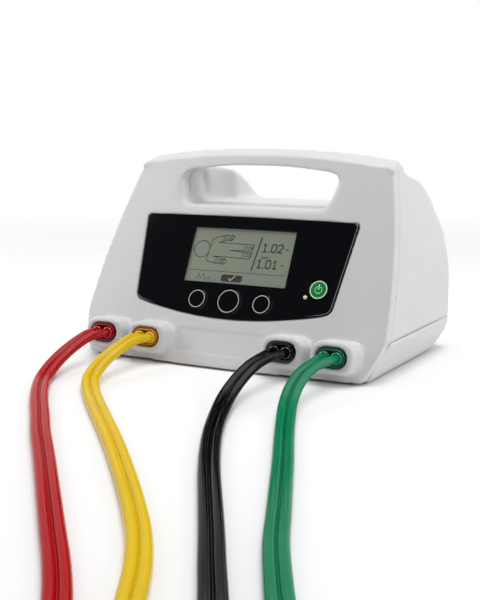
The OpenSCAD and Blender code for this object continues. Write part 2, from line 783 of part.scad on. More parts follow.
// Points in the coil's own frame: x forwards along the hose, y towards the coil's centre
function spiral(turns) =
    let (n = round(turns * rings_per_turn), r0 = coil_inner_r + coil_step * turns)
    [for (k = [0 : n]) let (a = 360 * turns * k / n, r = r0 - coil_step * turns * k / n)
        [r * sin(a), r0 - r * cos(a), 0]];
function inward_end(turns) =
    let (
        a0 = 360 * turns,
        r0 = coil_inner_r + coil_step * turns,
        centre = [0, r0, 0] + (coil_inner_r - coil_end_r) * [sin(a0), -cos(a0), 0],
        n = rings_per_turn / 2
    )
    [for (k = [1 : n]) let (a = a0 + 180 * k / n) centre + coil_end_r * [sin(a), -cos(a), 0]];
function coil_local(turns) =
    let (
        body = concat([[-hose_w, 0, 0]], spiral(turns), inward_end(turns)),
        last = body[len(body) - 1],
        a = 360 * turns + 180
    )
    concat(body, [last + hose_w * [cos(a), sin(a), 0]]);
function to_floor(i, p) =
    let (s = coil_start(i) + hose_w * coil_forward(i), base = [s.x, s.y, COIL_Z[i]])
    base + p.x * coil_forward(i) + p.y * coil_sideways(i) + [0, 0, p.z];
function coil_path(i) = [for (p = coil_local(COIL_TURNS[i])) to_floor(i, p)];
function route(i) = concat(hose_start(i), [for (k = [0 : len(ROUTES[i]) - 2]) ROUTES[i][k]], [coil_path(i)[0]]);

function run_length(path) = len(path) < 2 ? 0
    : [for (i = 1, s = 0; i <= len(path); s = s + (i < len(path) ? norm(path[i] - path[i - 1]) : 0), i = i + 1) s][len(path) - 1];
// Least distance between two windings of a coil, less the hose's width
function coil_gap(i) = let (p = coil_path(i), n = len(p))
    min([for (a = [0 : n - 1], b = [a + 8 : n - 1]) norm(p[a] - p[b])]) - hose_w;
for (i = [0 : 3]) echo(hose = i, coil_gap = coil_gap(i), free = run_length(route(i)), coiled = run_length(coil_path(i)),
    total = run_length(route(i)) + run_length(coil_path(i)));

module hose(i) {
    color(HOSE_COLOR[i])
    in_frame()
    sweep(route(i), twin_section(hose_w, hose_h), coil_forward(i));
}
module hose_red() { hose(0); }
module hose_yellow() { hose(1); }
module hose_black() { hose(2); }
module hose_green() { hose(3); }

module coil(i) {
    color(HOSE_COLOR[i])
    in_frame()
    sweep(coil_path(i), flat_section(hose_w, hose_h));
}
module coil_red() { coil(0); }
module coil_yellow() { coil(1); }
module coil_black() { coil(2); }
module coil_green() { coil(3); }

// Sits in a coil's frame at a point of its path, local X along the hose
module at_coil_end(i) {
    path = coil_path(i);
    last = path[len(path) - 1];
    t = last - path[len(path) - 2];
    translate(last) rotate([0, 0, atan2(t.y, t.x)]) children();
}

// Two way inline connector on the far end of a hose
module connector(i) {
    color("whitesmoke")
    in_frame()
    at_coil_end(i) rotate([90, 0, 90]) {
        linear_extrude(connector_l * 0.6) oval(hose_w + 2, hose_h + 1.6);
        translate([0, 0, connector_l * 0.6 - 0.01]) linear_extrude(connector_l * 0.4) oval(hose_w, hose_h);
    }
}
module connector_red() { connector(0); }
module connector_yellow() { connector(1); }
module connector_black() { connector(2); }
module connector_green() { connector(3); }

// A strap round the two turns of a coil
tie_t = 0.8;
tie_w = 12;
tie_slack = 1.1;
module tie(i) {
    r0 = coil_outer_r(i);
    r_out = r0 - coil_step * TIE_ANGLE[i] / 360;
    r_in = r_out - coil_step;
    w = r_out - r_in + hose_w + 2 * tie_slack;
    h = hose_h + 2 * fit_gap;
    mid = to_floor(i, [(r_out + r_in) / 2 * sin(TIE_ANGLE[i]), r0 - (r_out + r_in) / 2 * cos(TIE_ANGLE[i]), 0]);
    turn = COIL_HEADING[i] + COIL_SIDE[i] * TIE_ANGLE[i];
    color("dimgray")
    in_frame()
    translate(mid) rotate([90, 0, turn + 90]) translate([0, 0, -tie_w / 2]) linear_extrude(tie_w) difference() {
        rounded(w + 2 * tie_t, h + 2 * tie_t, 2);
        square([w, h], center = true);
    }
}
module tie_red() { tie(0); }
module tie_yellow() { tie(1); }
module tie_black() { tie(2); }
module tie_green() { tie(3); }

// Main board on the tray's standoffs
main_w = 150;
main_y0 = 58;
main_y1 = 152;
module main_board() {
    color("darkgreen")
    in_frame()
    difference() {
        translate([-main_w / 2, main_y0, board_z]) cube([main_w, main_y1 - main_y0, board_t]);
        for (p = STANDOFFS) translate([p.x, p.y, board_z - 1]) cylinder(d = screw_d, h = 5);
    }
}

module pressure_sensors() {
    color("dimgray")
    in_frame()
    for (i = [-1.5 : 1.5]) translate([sensor_pitch * i, sensor_y, board_z + board_t]) {
        translate([-6, -6, 0]) cube([12, 12, 6]);
        cylinder(d = 3, h = 12);
    }
}

// Air pump: a round motor and a square head with two nipples, lying on its cradle
module pump(side) {
    color("slategray")
    in_frame()
    translate([side * pump_x, pump_y, pump_z]) {
        translate([0, motor_l, 0]) rotate([90, 0, 0]) cylinder(d = pump_d - 3, h = motor_l);
        translate([-pump_d / 2 + 1, -pump_head_l, -pump_d / 2]) cube([pump_d - 2, pump_head_l + 0.01, pump_d]);
        for (x = [-5, 5]) translate([x, -pump_head_l - 7, 6]) rotate([-90, 0, 0]) cylinder(d = 4, h = 8);
    }
}
module pump_left() { pump(-1); }
module pump_right() { pump(1); }

// Rubber cradles under the pump heads and motors
module pump_cradles() {
    color("black")
    in_frame()
    for (side = [-1, 1]) translate([side * pump_x, pump_y, floor_z]) {
        translate([-pump_d / 2, -pump_head_l + 3, 0.02]) cube([pump_d, pump_head_l - 6, cradle_h - 0.04]);
        difference() {
            translate([-pump_d / 2 + 2, motor_l - 14, 0.02]) cube([pump_d - 4, 10, pump_d / 2 - 2]);
            translate([0, motor_l, cradle_h + pump_d / 2]) rotate([90, 0, 0]) cylinder(d = pump_d - 3 + 0.2, h = motor_l);
        }
    }
}

module valve_manifold() {
    color("silver")
    in_frame()
    translate([-manifold_w / 2, manifold_y, floor_z + 0.02]) cube([manifold_w, manifold_d, manifold_h]);
}

module solenoid_valves() {
    color("slategray")
    in_frame()
    for (i = [-1.5 : 1.5]) translate([valve_pitch * i, manifold_y + manifold_d / 2, floor_z + manifold_h + 0.04]) {
        cylinder(d = 14, h = 14);
        translate([0, 0, 13.99]) cylinder(d = 6, h = 2.5);
    }
}

// Air tubes from the port barbs back to the manifold
tube_d = 4.6;
function tube_path(i, side) =
    let (
        a = barb_end(i, side),
        x1 = (PORT_X[i] > 0 ? 1 : -1) * (manifold_w / 2 + 0.2),
        sx = PORT_X[i] > 0 ? 1 : -1,
        outer = abs(PORT_X[i]) > 80,
        end_y = manifold_y + (outer ? 14 : 4.5),
        end_z = floor_z + (side * sx > 0 ? 3.2 : 10)
    )
    [a, a + [0, 3, 0], [a.x, end_y - 2, (a.z + end_z) / 2], [x1 + sx * (outer ? 10 : 5), end_y, end_z], [x1, end_y, end_z]];
function barb_end(i, side) =
    [PORT_X[i] + side * barb_x,
     boss_y + (socket_set + socket_l + barb_l + 0.2) * cos(port_tilt),
     port_z - (socket_set + socket_l + barb_l + 0.2) * sin(port_tilt)];

module inner_tubes() {
    color("white")
    in_frame()
    for (i = [0 : 3], side = [-1, 1])
        sweep(tube_path(i, side), [for (a = [0 : 45 : 315]) tube_d / 2 * [cos(a), sin(a)]]);
}

module battery_pack() {
    color("royalblue")
    in_frame()
    translate([-battery_w / 2 + 2, battery_y - battery_d / 2 + 2, ground + door_t + 0.1])
        cube([battery_w - 4, battery_d - 4, battery_h]);
}

module battery_door() {
    color("lightgray")
    in_frame()
    difference() {
        translate([-door_w / 2 + fit_gap, battery_y - door_d / 2 + fit_gap, ground])
            cube([door_w - 2 * fit_gap, door_d - 2 * fit_gap, door_t]);
        for (x = [-1, 1]) translate([x * (door_w / 2 - 1.6), battery_y, 0]) cylinder(d = 2, h = 10);
    }
}

module door_screws() {
    color("silver")
    in_frame()
    for (x = [-1, 1]) translate([x * (door_w / 2 - 1.6), battery_y, ground + 0.1]) cylinder(d = 1.8, h = door_t - 0.1);
}

module power_inlet() {
    color("black")
    in_frame()
    translate([inlet_x, body_d, rear_socket_z]) rotate([90, 0, 0]) {
        difference() {
            translate([0, 0, 1.2]) cylinder(d = 10.8, h = 13);
            cylinder(d = 6.4, h = 10);
        }
        translate([0, 0, 3]) cylinder(d = 2, h = 8);
    }
}

module data_socket() {
    color("silver")
    in_frame()
    translate([data_x, body_d - 8, rear_socket_z]) difference() {
        cube([12.2, 13, 8.2], center = true);
        translate([0, 5, 0]) cube([9, 14, 5], center = true);
    }
}

module feet() {
    color("dimgray")
    in_frame()
    for (p = FEET) translate([p.x, p.y, 0]) cylinder(d = foot_d, h = ground);
}

module case_screws() {
    color("silver")
    in_frame()
    for (p = SCREWS) translate([p.x, p.y, ground + 0.4]) {
        cylinder(d = 6, h = 1.1);
        cylinder(d = screw_d - 0.1, h = 13);
    }
}

front_shell();
rear_shell();
base_tray();
display_panel();
screen_window();
screen_module();
keypad_board();
key_switches();
key_left();
key_middle();
key_right();
power_button();
status_light();
port_red();
port_yellow();
port_black();
port_green();
plug_red();
plug_yellow();
plug_black();
plug_green();
hose_red();
hose_yellow();
hose_black();
hose_green();
coil_red();
coil_yellow();
coil_black();
coil_green();
tie_red();
tie_yellow();
tie_black();
tie_green();
connector_red();
connector_yellow();
connector_black();
connector_green();
main_board();
pressure_sensors();
pump_left();
pump_right();
pump_cradles();
valve_manifold();
solenoid_valves();
inner_tubes();
battery_pack();
battery_door();
door_screws();
power_inlet();
data_socket();
feet();
case_screws();
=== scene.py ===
# %% [markdown]
# # A bench unit for ankle and arm blood pressure
# The unit stands on a table: a reclined front with a handle bar, a black panel with a small
# screen and three keys, and four sockets low down with a coloured twin hose in each.
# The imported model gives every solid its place. This file gives them their looks, in metres.

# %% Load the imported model
import math

import bmesh
import bpy
import numpy as np
from mathutils import Matrix, Vector


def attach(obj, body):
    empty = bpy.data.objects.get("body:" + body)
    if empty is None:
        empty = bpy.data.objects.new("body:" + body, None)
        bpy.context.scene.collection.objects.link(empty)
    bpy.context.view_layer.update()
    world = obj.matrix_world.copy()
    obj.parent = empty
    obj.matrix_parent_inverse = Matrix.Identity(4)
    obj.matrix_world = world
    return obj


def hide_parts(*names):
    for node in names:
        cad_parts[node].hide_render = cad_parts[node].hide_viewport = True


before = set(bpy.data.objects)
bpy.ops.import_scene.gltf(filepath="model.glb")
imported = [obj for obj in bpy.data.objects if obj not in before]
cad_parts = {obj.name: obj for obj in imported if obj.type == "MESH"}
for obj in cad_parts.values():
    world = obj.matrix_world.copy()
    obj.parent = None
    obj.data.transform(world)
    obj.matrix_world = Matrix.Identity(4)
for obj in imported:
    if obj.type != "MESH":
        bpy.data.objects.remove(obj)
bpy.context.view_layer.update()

# %% [markdown]
# ## Sizes and places
# The unit is drawn in millimetres from the foot of its front, as a designer would dimension it.
# One function turns such a point into the model's metres. A second gives the sloping face
# its own axes: across, up the slope and straight out. A third does the same for a socket.

# %% The unit's own axes
MM = 0.001
FOOT_Y = 85.7824
FACE_TILT = math.radians(26.6)
CROWN_R = 2120
PORT_TILT = math.radians(3)
PORT_Z = 20.2
BOSS_Y = PORT_Z * math.tan(FACE_TILT) - 14
PORT_X = {"red": -95.7, "yellow": -57, "black": 57, "green": 95.7}
COLOURS = ["red", "yellow", "black", "green"]


def place(x, y, z):
    """A point in millimetres from the foot of the front, in the model's metres."""
    return Vector((x, y - FOOT_Y, z)) * MM


def axes(origin, across, up, out):
    """A matrix that puts millimetres on three given directions at a point in metres."""
    m = Matrix.Identity(4)
    for column, direction in enumerate((across, up, out)):
        for row in range(3):
            m[row][column] = direction[row] * MM
    m.translation = origin
    return m


def on_face():
    """Axes of the sloping front: x across, y up the slope, z out of the face."""
    s, c = math.sin(FACE_TILT), math.cos(FACE_TILT)
    return axes(place(0, 0, 0), (1, 0, 0), (0, s, c), (0, -c, s))


def on_port(colour):
    """Axes of a socket: x across, y up, z out towards the viewer."""
    s, c = math.sin(PORT_TILT), math.cos(PORT_TILT)
    return axes(place(PORT_X[colour], BOSS_Y, PORT_Z), (1, 0, 0), (0, s, c), (0, -c, s))


def up_slope(z):
    """How far up the face a height lies."""
    return z / math.cos(FACE_TILT)


def crown(x):
    """How far the gently crowned face falls back at a distance from the middle."""
    return x * x / (2 * CROWN_R)


def face_depth(x, y, z):
    """How far a point in millimetres lies behind the crowned face."""
    return (y - z * math.tan(FACE_TILT) - crown(x)) * math.cos(FACE_TILT)


print("sockets at x =", list(PORT_X.values()), "mm, front of the bosses at y =", round(BOSS_Y, 2))

# %% [markdown]
# ## Camera
# The lens and the place of the camera were worked out from the straight lines of the unit in
# the photograph: a medium long lens, a little above the unit and well to its right.

# %% Camera
camera_data = bpy.data.cameras.new("Camera")
camera_data.lens = 66
camera_data.sensor_width = 36
camera_data.sensor_fit = "AUTO"
camera_data.clip_start = 0.01
camera_data.clip_end = 20
camera = bpy.data.objects.new("Camera", camera_data)
camera.location = place(398.0, -679.9, 184.1)
camera.rotation_euler = (math.radians(90 - 9.501), 0, math.radians(28.892))
bpy.context.scene.collection.objects.link(camera)
bpy.context.scene.camera = camera
print("camera stands", round(camera.location.length, 3), "m from the origin")

# %% [markdown]
# ## Mesh helpers
# Almost everything here is a row of outlines joined by skin: a hose is one section carried
# along a path, a key is a circle that changes radius, a plug is an oval that steps in and out.
# So one function joins outlines, and small ones make the outlines.

# %% Joining outlines
def link(obj, body):
    """Adds an object to the scene, on a body of the model."""
    if obj.name not in bpy.context.scene.collection.objects:
        bpy.context.scene.collection.objects.link(obj)
    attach(obj, body)
    return obj


def from_faces(name, points, faces, look, body="housing", smooth=True):
    """A mesh piece from points in metres and faces."""
    mesh = bpy.data.meshes.new(name)
    mesh.from_pydata([tuple(p) for p in points], [], faces)
    mesh.validate()
    mesh.polygons.foreach_set("use_smooth", [smooth] * len(mesh.polygons))
    mesh.materials.append(look)
    return link(bpy.data.objects.new(name, mesh), body)


def skin(rows, closed_start=True, closed_end=True, ring=True):
    """Points and faces of the skin over rows of points, with flat ends."""
    n = len(rows[0])
    points = [p for row in rows for p in row]
    faces = []
    for i in range(len(rows) - 1):
        for j in range(n if ring else n - 1):
            a, b = i * n + j, i * n + (j + 1) % n
            faces.append((a, b, b + n, a + n))
    if closed_start:
        faces.append(tuple(range(n - 1, -1, -1)))
    if closed_end:
        last = (len(rows) - 1) * n
        faces.append(tuple(range(last, last + n)))
    return points, faces


def sharpen(obj, degrees=40):
    """Marks edges that turn more than an angle as sharp, so that the rest can shade smooth."""
    bm = bmesh.new()
    bm.from_mesh(obj.data)
    limit = math.radians(degrees)
    for edge in bm.edges:
        if len(edge.link_faces) == 2 and edge.calc_face_angle(0) > limit:
            edge.smooth = False
    bm.to_mesh(obj.data)
    bm.free()
    return obj


# %% Outlines
def circle(r, z, n=72, x=0):
    """A circle of points at a height."""
    turns = np.linspace(0, 2 * math.pi, n, False)
    return [Vector((x + r * math.cos(a), r * math.sin(a), z)) for a in turns]


def oval(w, h, z, n=48):
    """An oval with straight long sides."""
    r, half = h / 2, (w - h) / 2
    row = []
    for a in np.linspace(0, 2 * math.pi, n, False):
        side = half if math.cos(a) > 0 else -half
        row.append(Vector((side + r * math.cos(a), r * math.sin(a), z)))
    return row


def rounded(w, h, r, z=0, n=6):
    """A rectangle with round corners."""
    row = []
    for k, (sx, sy) in enumerate([(1, 1), (-1, 1), (-1, -1), (1, -1)]):
        for a in np.linspace(0, math.pi / 2, n):
            t = a + k * math.pi / 2
            row.append(Vector((sx * (w / 2 - r) + r * math.cos(t), sy * (h / 2 - r) + r * math.sin(t), z)))
    return row


def loft(name, frame_axes, rows, look, body="housing", sharp=40):
    """A piece with skin over rows of points given in some frame's millimetres."""
    points, faces = skin([[frame_axes @ p for p in row] for row in rows])
    return sharpen(from_faces(name, points, faces, look, body), sharp)


def dress(name, look):
    """Gives one of the model's own solids a finish."""
    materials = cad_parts[name].data.materials
    materials.clear()
    materials.append(look)


print("helpers ready")

# %% [markdown]
# ## Colours and grain
# Colours are written as they look on screen and turned into linear light once, here.
# Moulded plastic is never one flat tone: its skin has a fine grain that scatters light and very
# faint clouds of tone. Both come from one node group that every plastic and rubber uses
# with its own values. A second group gives the faint smears that hands and cleaning cloths
# leave: it makes the skin a little smoother in some places and duller in others.

# %% Colour as seen on a screen
def screen(r, g, b):
    """A colour as seen on screen, 0 to 255, in linear light with full alpha."""
    def linear(v):
        v = v / 255
        return v / 12.92 if v <= 0.04045 else ((v + 0.055) / 1.055) ** 2.4
    return (linear(r), linear(g), linear(b), 1)


print("mid grey 128 in linear light:", round(screen(128, 128, 128)[0], 3))


# %% Helpers for shader nodes
def socket(group, name, way, value=None):
    """Adds a named number to a node group, as an input or an output."""
    made = group.interface.new_socket(name=name, in_out=way, socket_type="NodeSocketFloat")
    if value is not None:
        made.default_value = value


def add_node(tree, kind, values=None, **settings):
    """Adds a shader node, with its settings and the values of some of its inputs."""
    made = tree.nodes.new("ShaderNode" + kind)
    for key, value in settings.items():
        setattr(made, key, value)
    for key, value in (values or {}).items():
        made.inputs[key].default_value = value
    return made


def join(tree, links):
    """Links nodes, each time from one node's output to another one's input."""
    for source, output, target, slot in links:
        tree.links.new(source.outputs[output], target.inputs[slot])


print("node helpers ready")


# %% Grain of a moulded skin
def build_grain():
    """Fine grain of a moulded skin, and slow clouds of tone. Sizes are in millimetres."""
    group = bpy.data.node_groups.new("Moulded grain", "ShaderNodeTree")
    socket(group, "Grain size", "INPUT", 0.4)
    socket(group, "Cloud size", "INPUT", 40)
    socket(group, "Cloud depth", "INPUT", 0.03)
    socket(group, "Height", "OUTPUT")
    socket(group, "Tone", "OUTPUT")
    inlet, outlet = group.nodes.new("NodeGroupInput"), group.nodes.new("NodeGroupOutput")
    place_in = add_node(group, "TexCoord")
    size = add_node(group, "Math", {0: 1 / MM}, operation="DIVIDE")
    fine = add_node(group, "TexNoise", {"Detail": 2})
    cloud_size = add_node(group, "Math", {0: 1 / MM}, operation="DIVIDE")
    cloud = add_node(group, "TexNoise", {"Detail": 3})
    depth = add_node(group, "MapRange", {"From Min": 0.3, "From Max": 0.7, "To Max": 1})
    low = add_node(group, "Math", {0: 1}, operation="SUBTRACT")
    join(group, [
        (inlet, "Grain size", size, 1),
        (size, 0, fine, "Scale"),
        (place_in, "Object", fine, "Vector"),
        (inlet, "Cloud size", cloud_size, 1),
        (cloud_size, 0, cloud, "Scale"),
        (place_in, "Object", cloud, "Vector"),
        (inlet, "Cloud depth", low, 1),
        (cloud, "Fac", depth, "Value"),
        (low, 0, depth, "To Min"),
        (fine, "Fac", outlet, "Height"),
        (depth, "Result", outlet, "Tone"),
    ])
    return group


GRAIN = build_grain()
print("node group:", GRAIN.name)


# %% Smears of handling
def build_handling():
    """Roughness that drifts a little over the skin, in slow stretched smears."""
    group = bpy.data.node_groups.new("Handling smears", "ShaderNodeTree")
    socket(group, "Smooth", "INPUT", 0.3)
    socket(group, "Dull", "INPUT", 0.5)
    socket(group, "Smear size", "INPUT", 30)
    socket(group, "Roughness", "OUTPUT")
    inlet, outlet = group.nodes.new("NodeGroupInput"), group.nodes.new("NodeGroupOutput")
    place_in = add_node(group, "TexCoord")
    stretch = add_node(group, "Mapping", {"Scale": (1, 1.4, 2.2)})
    per_metre = add_node(group, "Math", {0: 1 / MM}, operation="DIVIDE")
    smear = add_node(group, "TexNoise", {"Detail": 4, "Distortion": 0.6})
    spread = add_node(group, "MapRange", {"From Min": 0.35, "From Max": 0.65})
    join(group, [
        (place_in, "Object", stretch, "Vector"),
        (stretch, "Vector", smear, "Vector"),
        (inlet, "Smear size", per_metre, 1),
        (per_metre, 0, smear, "Scale"),
        (smear, "Fac", spread, "Value"),
        (inlet, "Smooth", spread, "To Min"),
        (inlet, "Dull", spread, "To Max"),
        (spread, "Result", outlet, "Roughness"),
    ])
    return group


HANDLING = build_handling()
print("node group:", HANDLING.name)

# %% Plastics and rubbers
DARK_CLOUD = 0.35
BUMP_DEPTH = 0.0002


def plastic(name, colour, roughness, grain=0.4, bump=0.15, clouds=0.03, cloud_size=40, smear=0.15, **more):
    """A moulded skin: its colour in faint clouds, its own roughness and fine grain."""
    look = bpy.data.materials.new(name)
    look.use_nodes = True
    tree = look.node_tree
    shader = tree.nodes["Principled BSDF"]
    for key, value in more.items():
        shader.inputs[key.replace("_", " ")].default_value = value
    smooth, dull = roughness * (1 - smear), min(1, roughness * (1 + smear))
    smears = add_node(tree, "Group", {"Smooth": smooth, "Dull": dull}, node_tree=HANDLING)
    skin_values = {"Grain size": grain, "Cloud size": cloud_size, "Cloud depth": clouds}
    skin_group = add_node(tree, "Group", skin_values, node_tree=GRAIN)
    darker = tuple(DARK_CLOUD * c for c in colour[:3]) + (1,)
    tone = add_node(tree, "Mix", {"A": darker, "B": colour}, data_type="RGBA")
    join(tree, [
        (smears, "Roughness", shader, "Roughness"),
        (skin_group, "Tone", tone, "Factor"),
        (tone, "Result", shader, "Base Color"),
    ])
    if bump:
        relief = add_node(tree, "Bump", {"Strength": bump, "Distance": BUMP_DEPTH})
        join(tree, [(skin_group, "Height", relief, "Height"),
                    (relief, "Normal", shader, "Normal")])
    return look


fascia_plastic = plastic("pale grey moulding", screen(212, 212, 213), 0.42)
rear_plastic = plastic("pale rear moulding", screen(214, 214, 215), 0.42)
panel_plastic = plastic("gloss black panel", screen(4, 6, 10), 0.08, bump=0, clouds=0.1,
                        Specular_IOR_Level=0.14)
print("plastics:", fascia_plastic.name, rear_plastic.name, panel_plastic.name)

# %% [markdown]
# ## Hoses
# Each hose is a soft twin tube, 12.4 mm wide over both tubes and 1.5 m long. It comes straight
# out of its plug, sinks to the table in a loose bend and runs off towards the viewer. What the
# photograph doesn't show is wound into a flat spiral just outside the view.
# The route's points are the ones that the model's solids follow, joined by one smooth curve.
# Points without a height lie on the table.

# %% Sizes and routes
HOSE_W, HOSE_H = 12.4, 6.2
ON_TABLE = 3.5
ROUTES = {
    "red": [(-95, -44, 16), (-92, -68, 9), (-84, -90, 4), (-68, -114), (-47, -141), (-26, -166), (-2, -195),
            (26, -227), (52, -257), (77, -286), (102, -315), (127, -344), (150, -373), (168, -399),
            (180, -418), (190, -436, 4)],
    "yellow": [(-56, -40, 18), (-55, -62, 12), (-48, -84, 6), (-33, -104), (-10, -130), (15, -157),
               (40, -184), (65, -212), (90, -241), (115, -271), (139, -302), (158, -331), (173, -358),
               (185, -380, 4.5), (196, -400, 7.5), (204, -413, 10.5), (211, -425, 12)],
    "black": [(56, -40, 19), (57, -62, 14), (61, -86, 8), (70, -112, 4), (86, -147), (105, -183),
              (124, -216), (144, -249), (164, -282), (183, -314), (201, -344), (213, -366),
              (224, -385, 4.5), (232, -400, 7.5), (239, -412, 10.5), (246, -424, 12)],
    "green": [(95, -40, 19), (97, -61, 14), (103, -83, 8), (114, -109, 4), (130, -143), (147, -178),
              (163, -212), (179, -246), (195, -280), (211, -310), (225, -335), (238, -357), (250, -378),
              (260, -396), (270, -413, 4)],
}
ROUTES = {c: [Vector((p + (ON_TABLE,))[:3]) for p in route] for c, route in ROUTES.items()}
print("routes:", {c: len(route) for c, route in ROUTES.items()}, "points")

# %% Coil at the end
COIL_STEP, COIL_INNER_R, COIL_END_R = 13.6, 54, 42
COIL_HEADING = math.radians(-61)
COIL_POINTS, END_POINTS = 24, 12
COIL_TURNS = {"red": 1.93, "yellow": 1.96, "black": 2.05, "green": 2.08}
COIL_Z = {"red": 4.2, "yellow": 12, "black": 12, "green": 4.2}
COIL_SIDE = {"red": -1, "yellow": -1, "black": 1, "green": 1}


def coil_points(colour):
    """The flat spiral that a hose ends in: inwards, then a smaller turn to the connector."""
    turns, side = COIL_TURNS[colour], COIL_SIDE[colour]
    outer = COIL_INNER_R + COIL_STEP * turns
    local = [Vector((-HOSE_W, 0, 0))]
    count = round(turns * COIL_POINTS)
    for k in range(count + 1):
        a = 2 * math.pi * turns * k / count
        r = outer - COIL_STEP * turns * k / count
        local.append(Vector((r * math.sin(a), outer - r * math.cos(a), 0)))
    turned = 2 * math.pi * turns
    shift = COIL_INNER_R - COIL_END_R
    centre = Vector((shift * math.sin(turned), outer - shift * math.cos(turned), 0))
    for k in range(1, END_POINTS + 1):
        a = turned + math.pi * k / END_POINTS
        local.append(centre + Vector((COIL_END_R * math.sin(a), -COIL_END_R * math.cos(a), 0)))
    local.append(local[-1] + HOSE_W * Vector((math.cos(turned + math.pi), math.sin(turned + math.pi), 0)))
    forward = Vector((math.cos(COIL_HEADING), math.sin(COIL_HEADING), 0))
    aside = side * Vector((-math.sin(COIL_HEADING), math.cos(COIL_HEADING), 0))
    start = ROUTES[colour][-1] + HOSE_W * forward
    base = Vector((start.x, start.y, COIL_Z[colour]))
    return [base + p.x * forward + p.y * aside for p in local]


print("a coil's outer radius:", COIL_INNER_R + COIL_STEP * COIL_TURNS["green"], "mm at most")


# %% The whole course of a hose
def hose_points(colour):
    """Every point a hose goes through, in millimetres from the foot of the front."""
    away = Vector((0, -math.cos(PORT_TILT), math.sin(PORT_TILT)))
    mouth = Vector((PORT_X[colour], BOSS_Y, PORT_Z))
    inside = [mouth - 4 * away, mouth + 3 * away, mouth + (3 + HOSE_W) * away]
    return inside + ROUTES[colour][:-1] + coil_points(colour)


def smooth_curve(points, step=3.5):
    """A smooth curve through the points, with about one point every step."""
    p = [2 * points[0] - points[1]] + points + [2 * points[-1] - points[-2]]
    out = []
    for i in range(1, len(p) - 2):
        a, b, c, d = p[i - 1], p[i], p[i + 1], p[i + 2]
        t1 = (b - a).length ** 0.5
        t2 = t1 + (c - b).length ** 0.5
        t3 = t2 + (d - c).length ** 0.5
        n = max(1, round((c - b).length / step))
        for k in range(n):
            t = t1 + (t2 - t1) * k / n
            ab, bc, cd = a.lerp(b, t / t1), b.lerp(c, (t - t1) / (t2 - t1)), c.lerp(d, (t - t2) / (t3 - t2))
            left, right = ab.lerp(bc, t / t2), bc.lerp(cd, (t - t1) / (t3 - t1))
            out.append(left.lerp(right, (t - t1) / (t2 - t1)))
    return out + [points[-1]]


HOSE_PATHS = {c: smooth_curve(hose_points(c)) for c in COLOURS}
for c, path in HOSE_PATHS.items():
    length = sum((b - a).length for a, b in zip(path, path[1:]))
    print(c, "hose:", round(length), "mm along", len(path), "points")

# %% Twin tube along a path
TUBES_AT_PLUG, SPLIT_START, SPLIT_LENGTH = 9.4, 8, 26
TUBE_ARC, SPLIT_ARC, TUBE_POINTS = 160, 16, 13


def twin_section(apart):
    """Two round tubes side by side, as offsets across and up.

    Apart is 0 where a groove joins them and 1 at the plug, where each tube has its own collar.
    """
    r = HOSE_H / 2
    reach = TUBE_ARC + SPLIT_ARC * apart
    centre = r + (TUBES_AT_PLUG / 2 - r) * apart
    row = []
    for middle, start in ((centre, -reach), (-centre, 180 - reach)):
        for a in np.linspace(start, start + 2 * reach, TUBE_POINTS):
            row.append((middle + r * math.cos(math.radians(a)), r * math.sin(math.radians(a))))
    return row


def sweep(path):
    """Rows of points: the twin tube carried along a path, its width kept level."""
    rows = []
    walked = 0
    for i, p in enumerate(path):
        ahead = (path[min(i + 1, len(path) - 1)] - path[max(i - 1, 0)]).normalized()
        aside = ahead.cross(Vector((0, 0, 1))).normalized()
        up = aside.cross(ahead)
        walked += (p - path[max(i - 1, 0)]).length
        t = max(0, min(1, 1 - (walked - SPLIT_START) / SPLIT_LENGTH))
        rows.append([p + s * aside + u * up for s, u in twin_section(t * t * (3 - 2 * t))])
    return rows


print("twin section has", len(twin_section(0)), "points")

# %% [markdown]
# ## Hose and plug finishes
# The hoses are glossy soft vinyl. In a white room a plain gloss turns pale wherever it is seen
# at a slant, but the real hoses stay deep in colour there and shine where they face the eye. So
# the strength of the shine follows how far the skin turns away. The dark groove between the
# tubes comes from the shape itself. The plugs and their collars are harder mouldings.

# %% Hose and plug looks
HOSE_COLOURS = {"red": screen(172, 1, 6), "yellow": screen(222, 186, 16),
                "black": screen(4, 4, 5), "green": screen(2, 122, 80)}
PLUG_COLOURS = {"red": screen(160, 8, 18), "yellow": screen(210, 132, 8),
                "black": screen(10, 10, 11), "green": screen(12, 104, 86)}
TURN_START, TURN_END = 0.3, 0.6
SHINE_FACING, SHINE_TURNED = 0.75, 0.03


def vinyl(name, colour):
    """Soft vinyl: it shines where it faces the eye and stays deep in colour where it turns away."""
    look = plastic(name, colour, 0.1, bump=0.02, clouds=0.12, cloud_size=60)
    tree = look.node_tree
    turned = add_node(tree, "LayerWeight", {"Blend": 0.5})
    shine = add_node(tree, "MapRange", {"From Min": TURN_START, "From Max": TURN_END,
                                        "To Min": SHINE_FACING, "To Max": SHINE_TURNED})
    join(tree, [(turned, "Facing", shine, "Value"),
                (shine, "Result", tree.nodes["Principled BSDF"], "Specular IOR Level")])
    return look


hose_looks = {c: vinyl(f"{c} vinyl hose", HOSE_COLOURS[c]) for c in COLOURS}
plug_looks = {
    c: plastic(f"{c} plug moulding", PLUG_COLOURS[c], 0.14, bump=0, clouds=0.1, Specular_IOR_Level=0.35)
    for c in COLOURS
}
collar_looks = {
    c: plastic(f"{c} collar", HOSE_COLOURS[c], 0.12, bump=0, clouds=0.1, Coat_Weight=0.4)
    for c in COLOURS
}
SOCKET_SHADE = 0.3
socket_colours = {c: tuple(SOCKET_SHADE * v for v in PLUG_COLOURS[c][:3]) + (1,) for c in COLOURS}
socket_looks = {c: plastic(f"{c} socket", socket_colours[c], 0.2, bump=0, clouds=0.1) for c in COLOURS}
print("hose looks:", [m.name for m in hose_looks.values()])
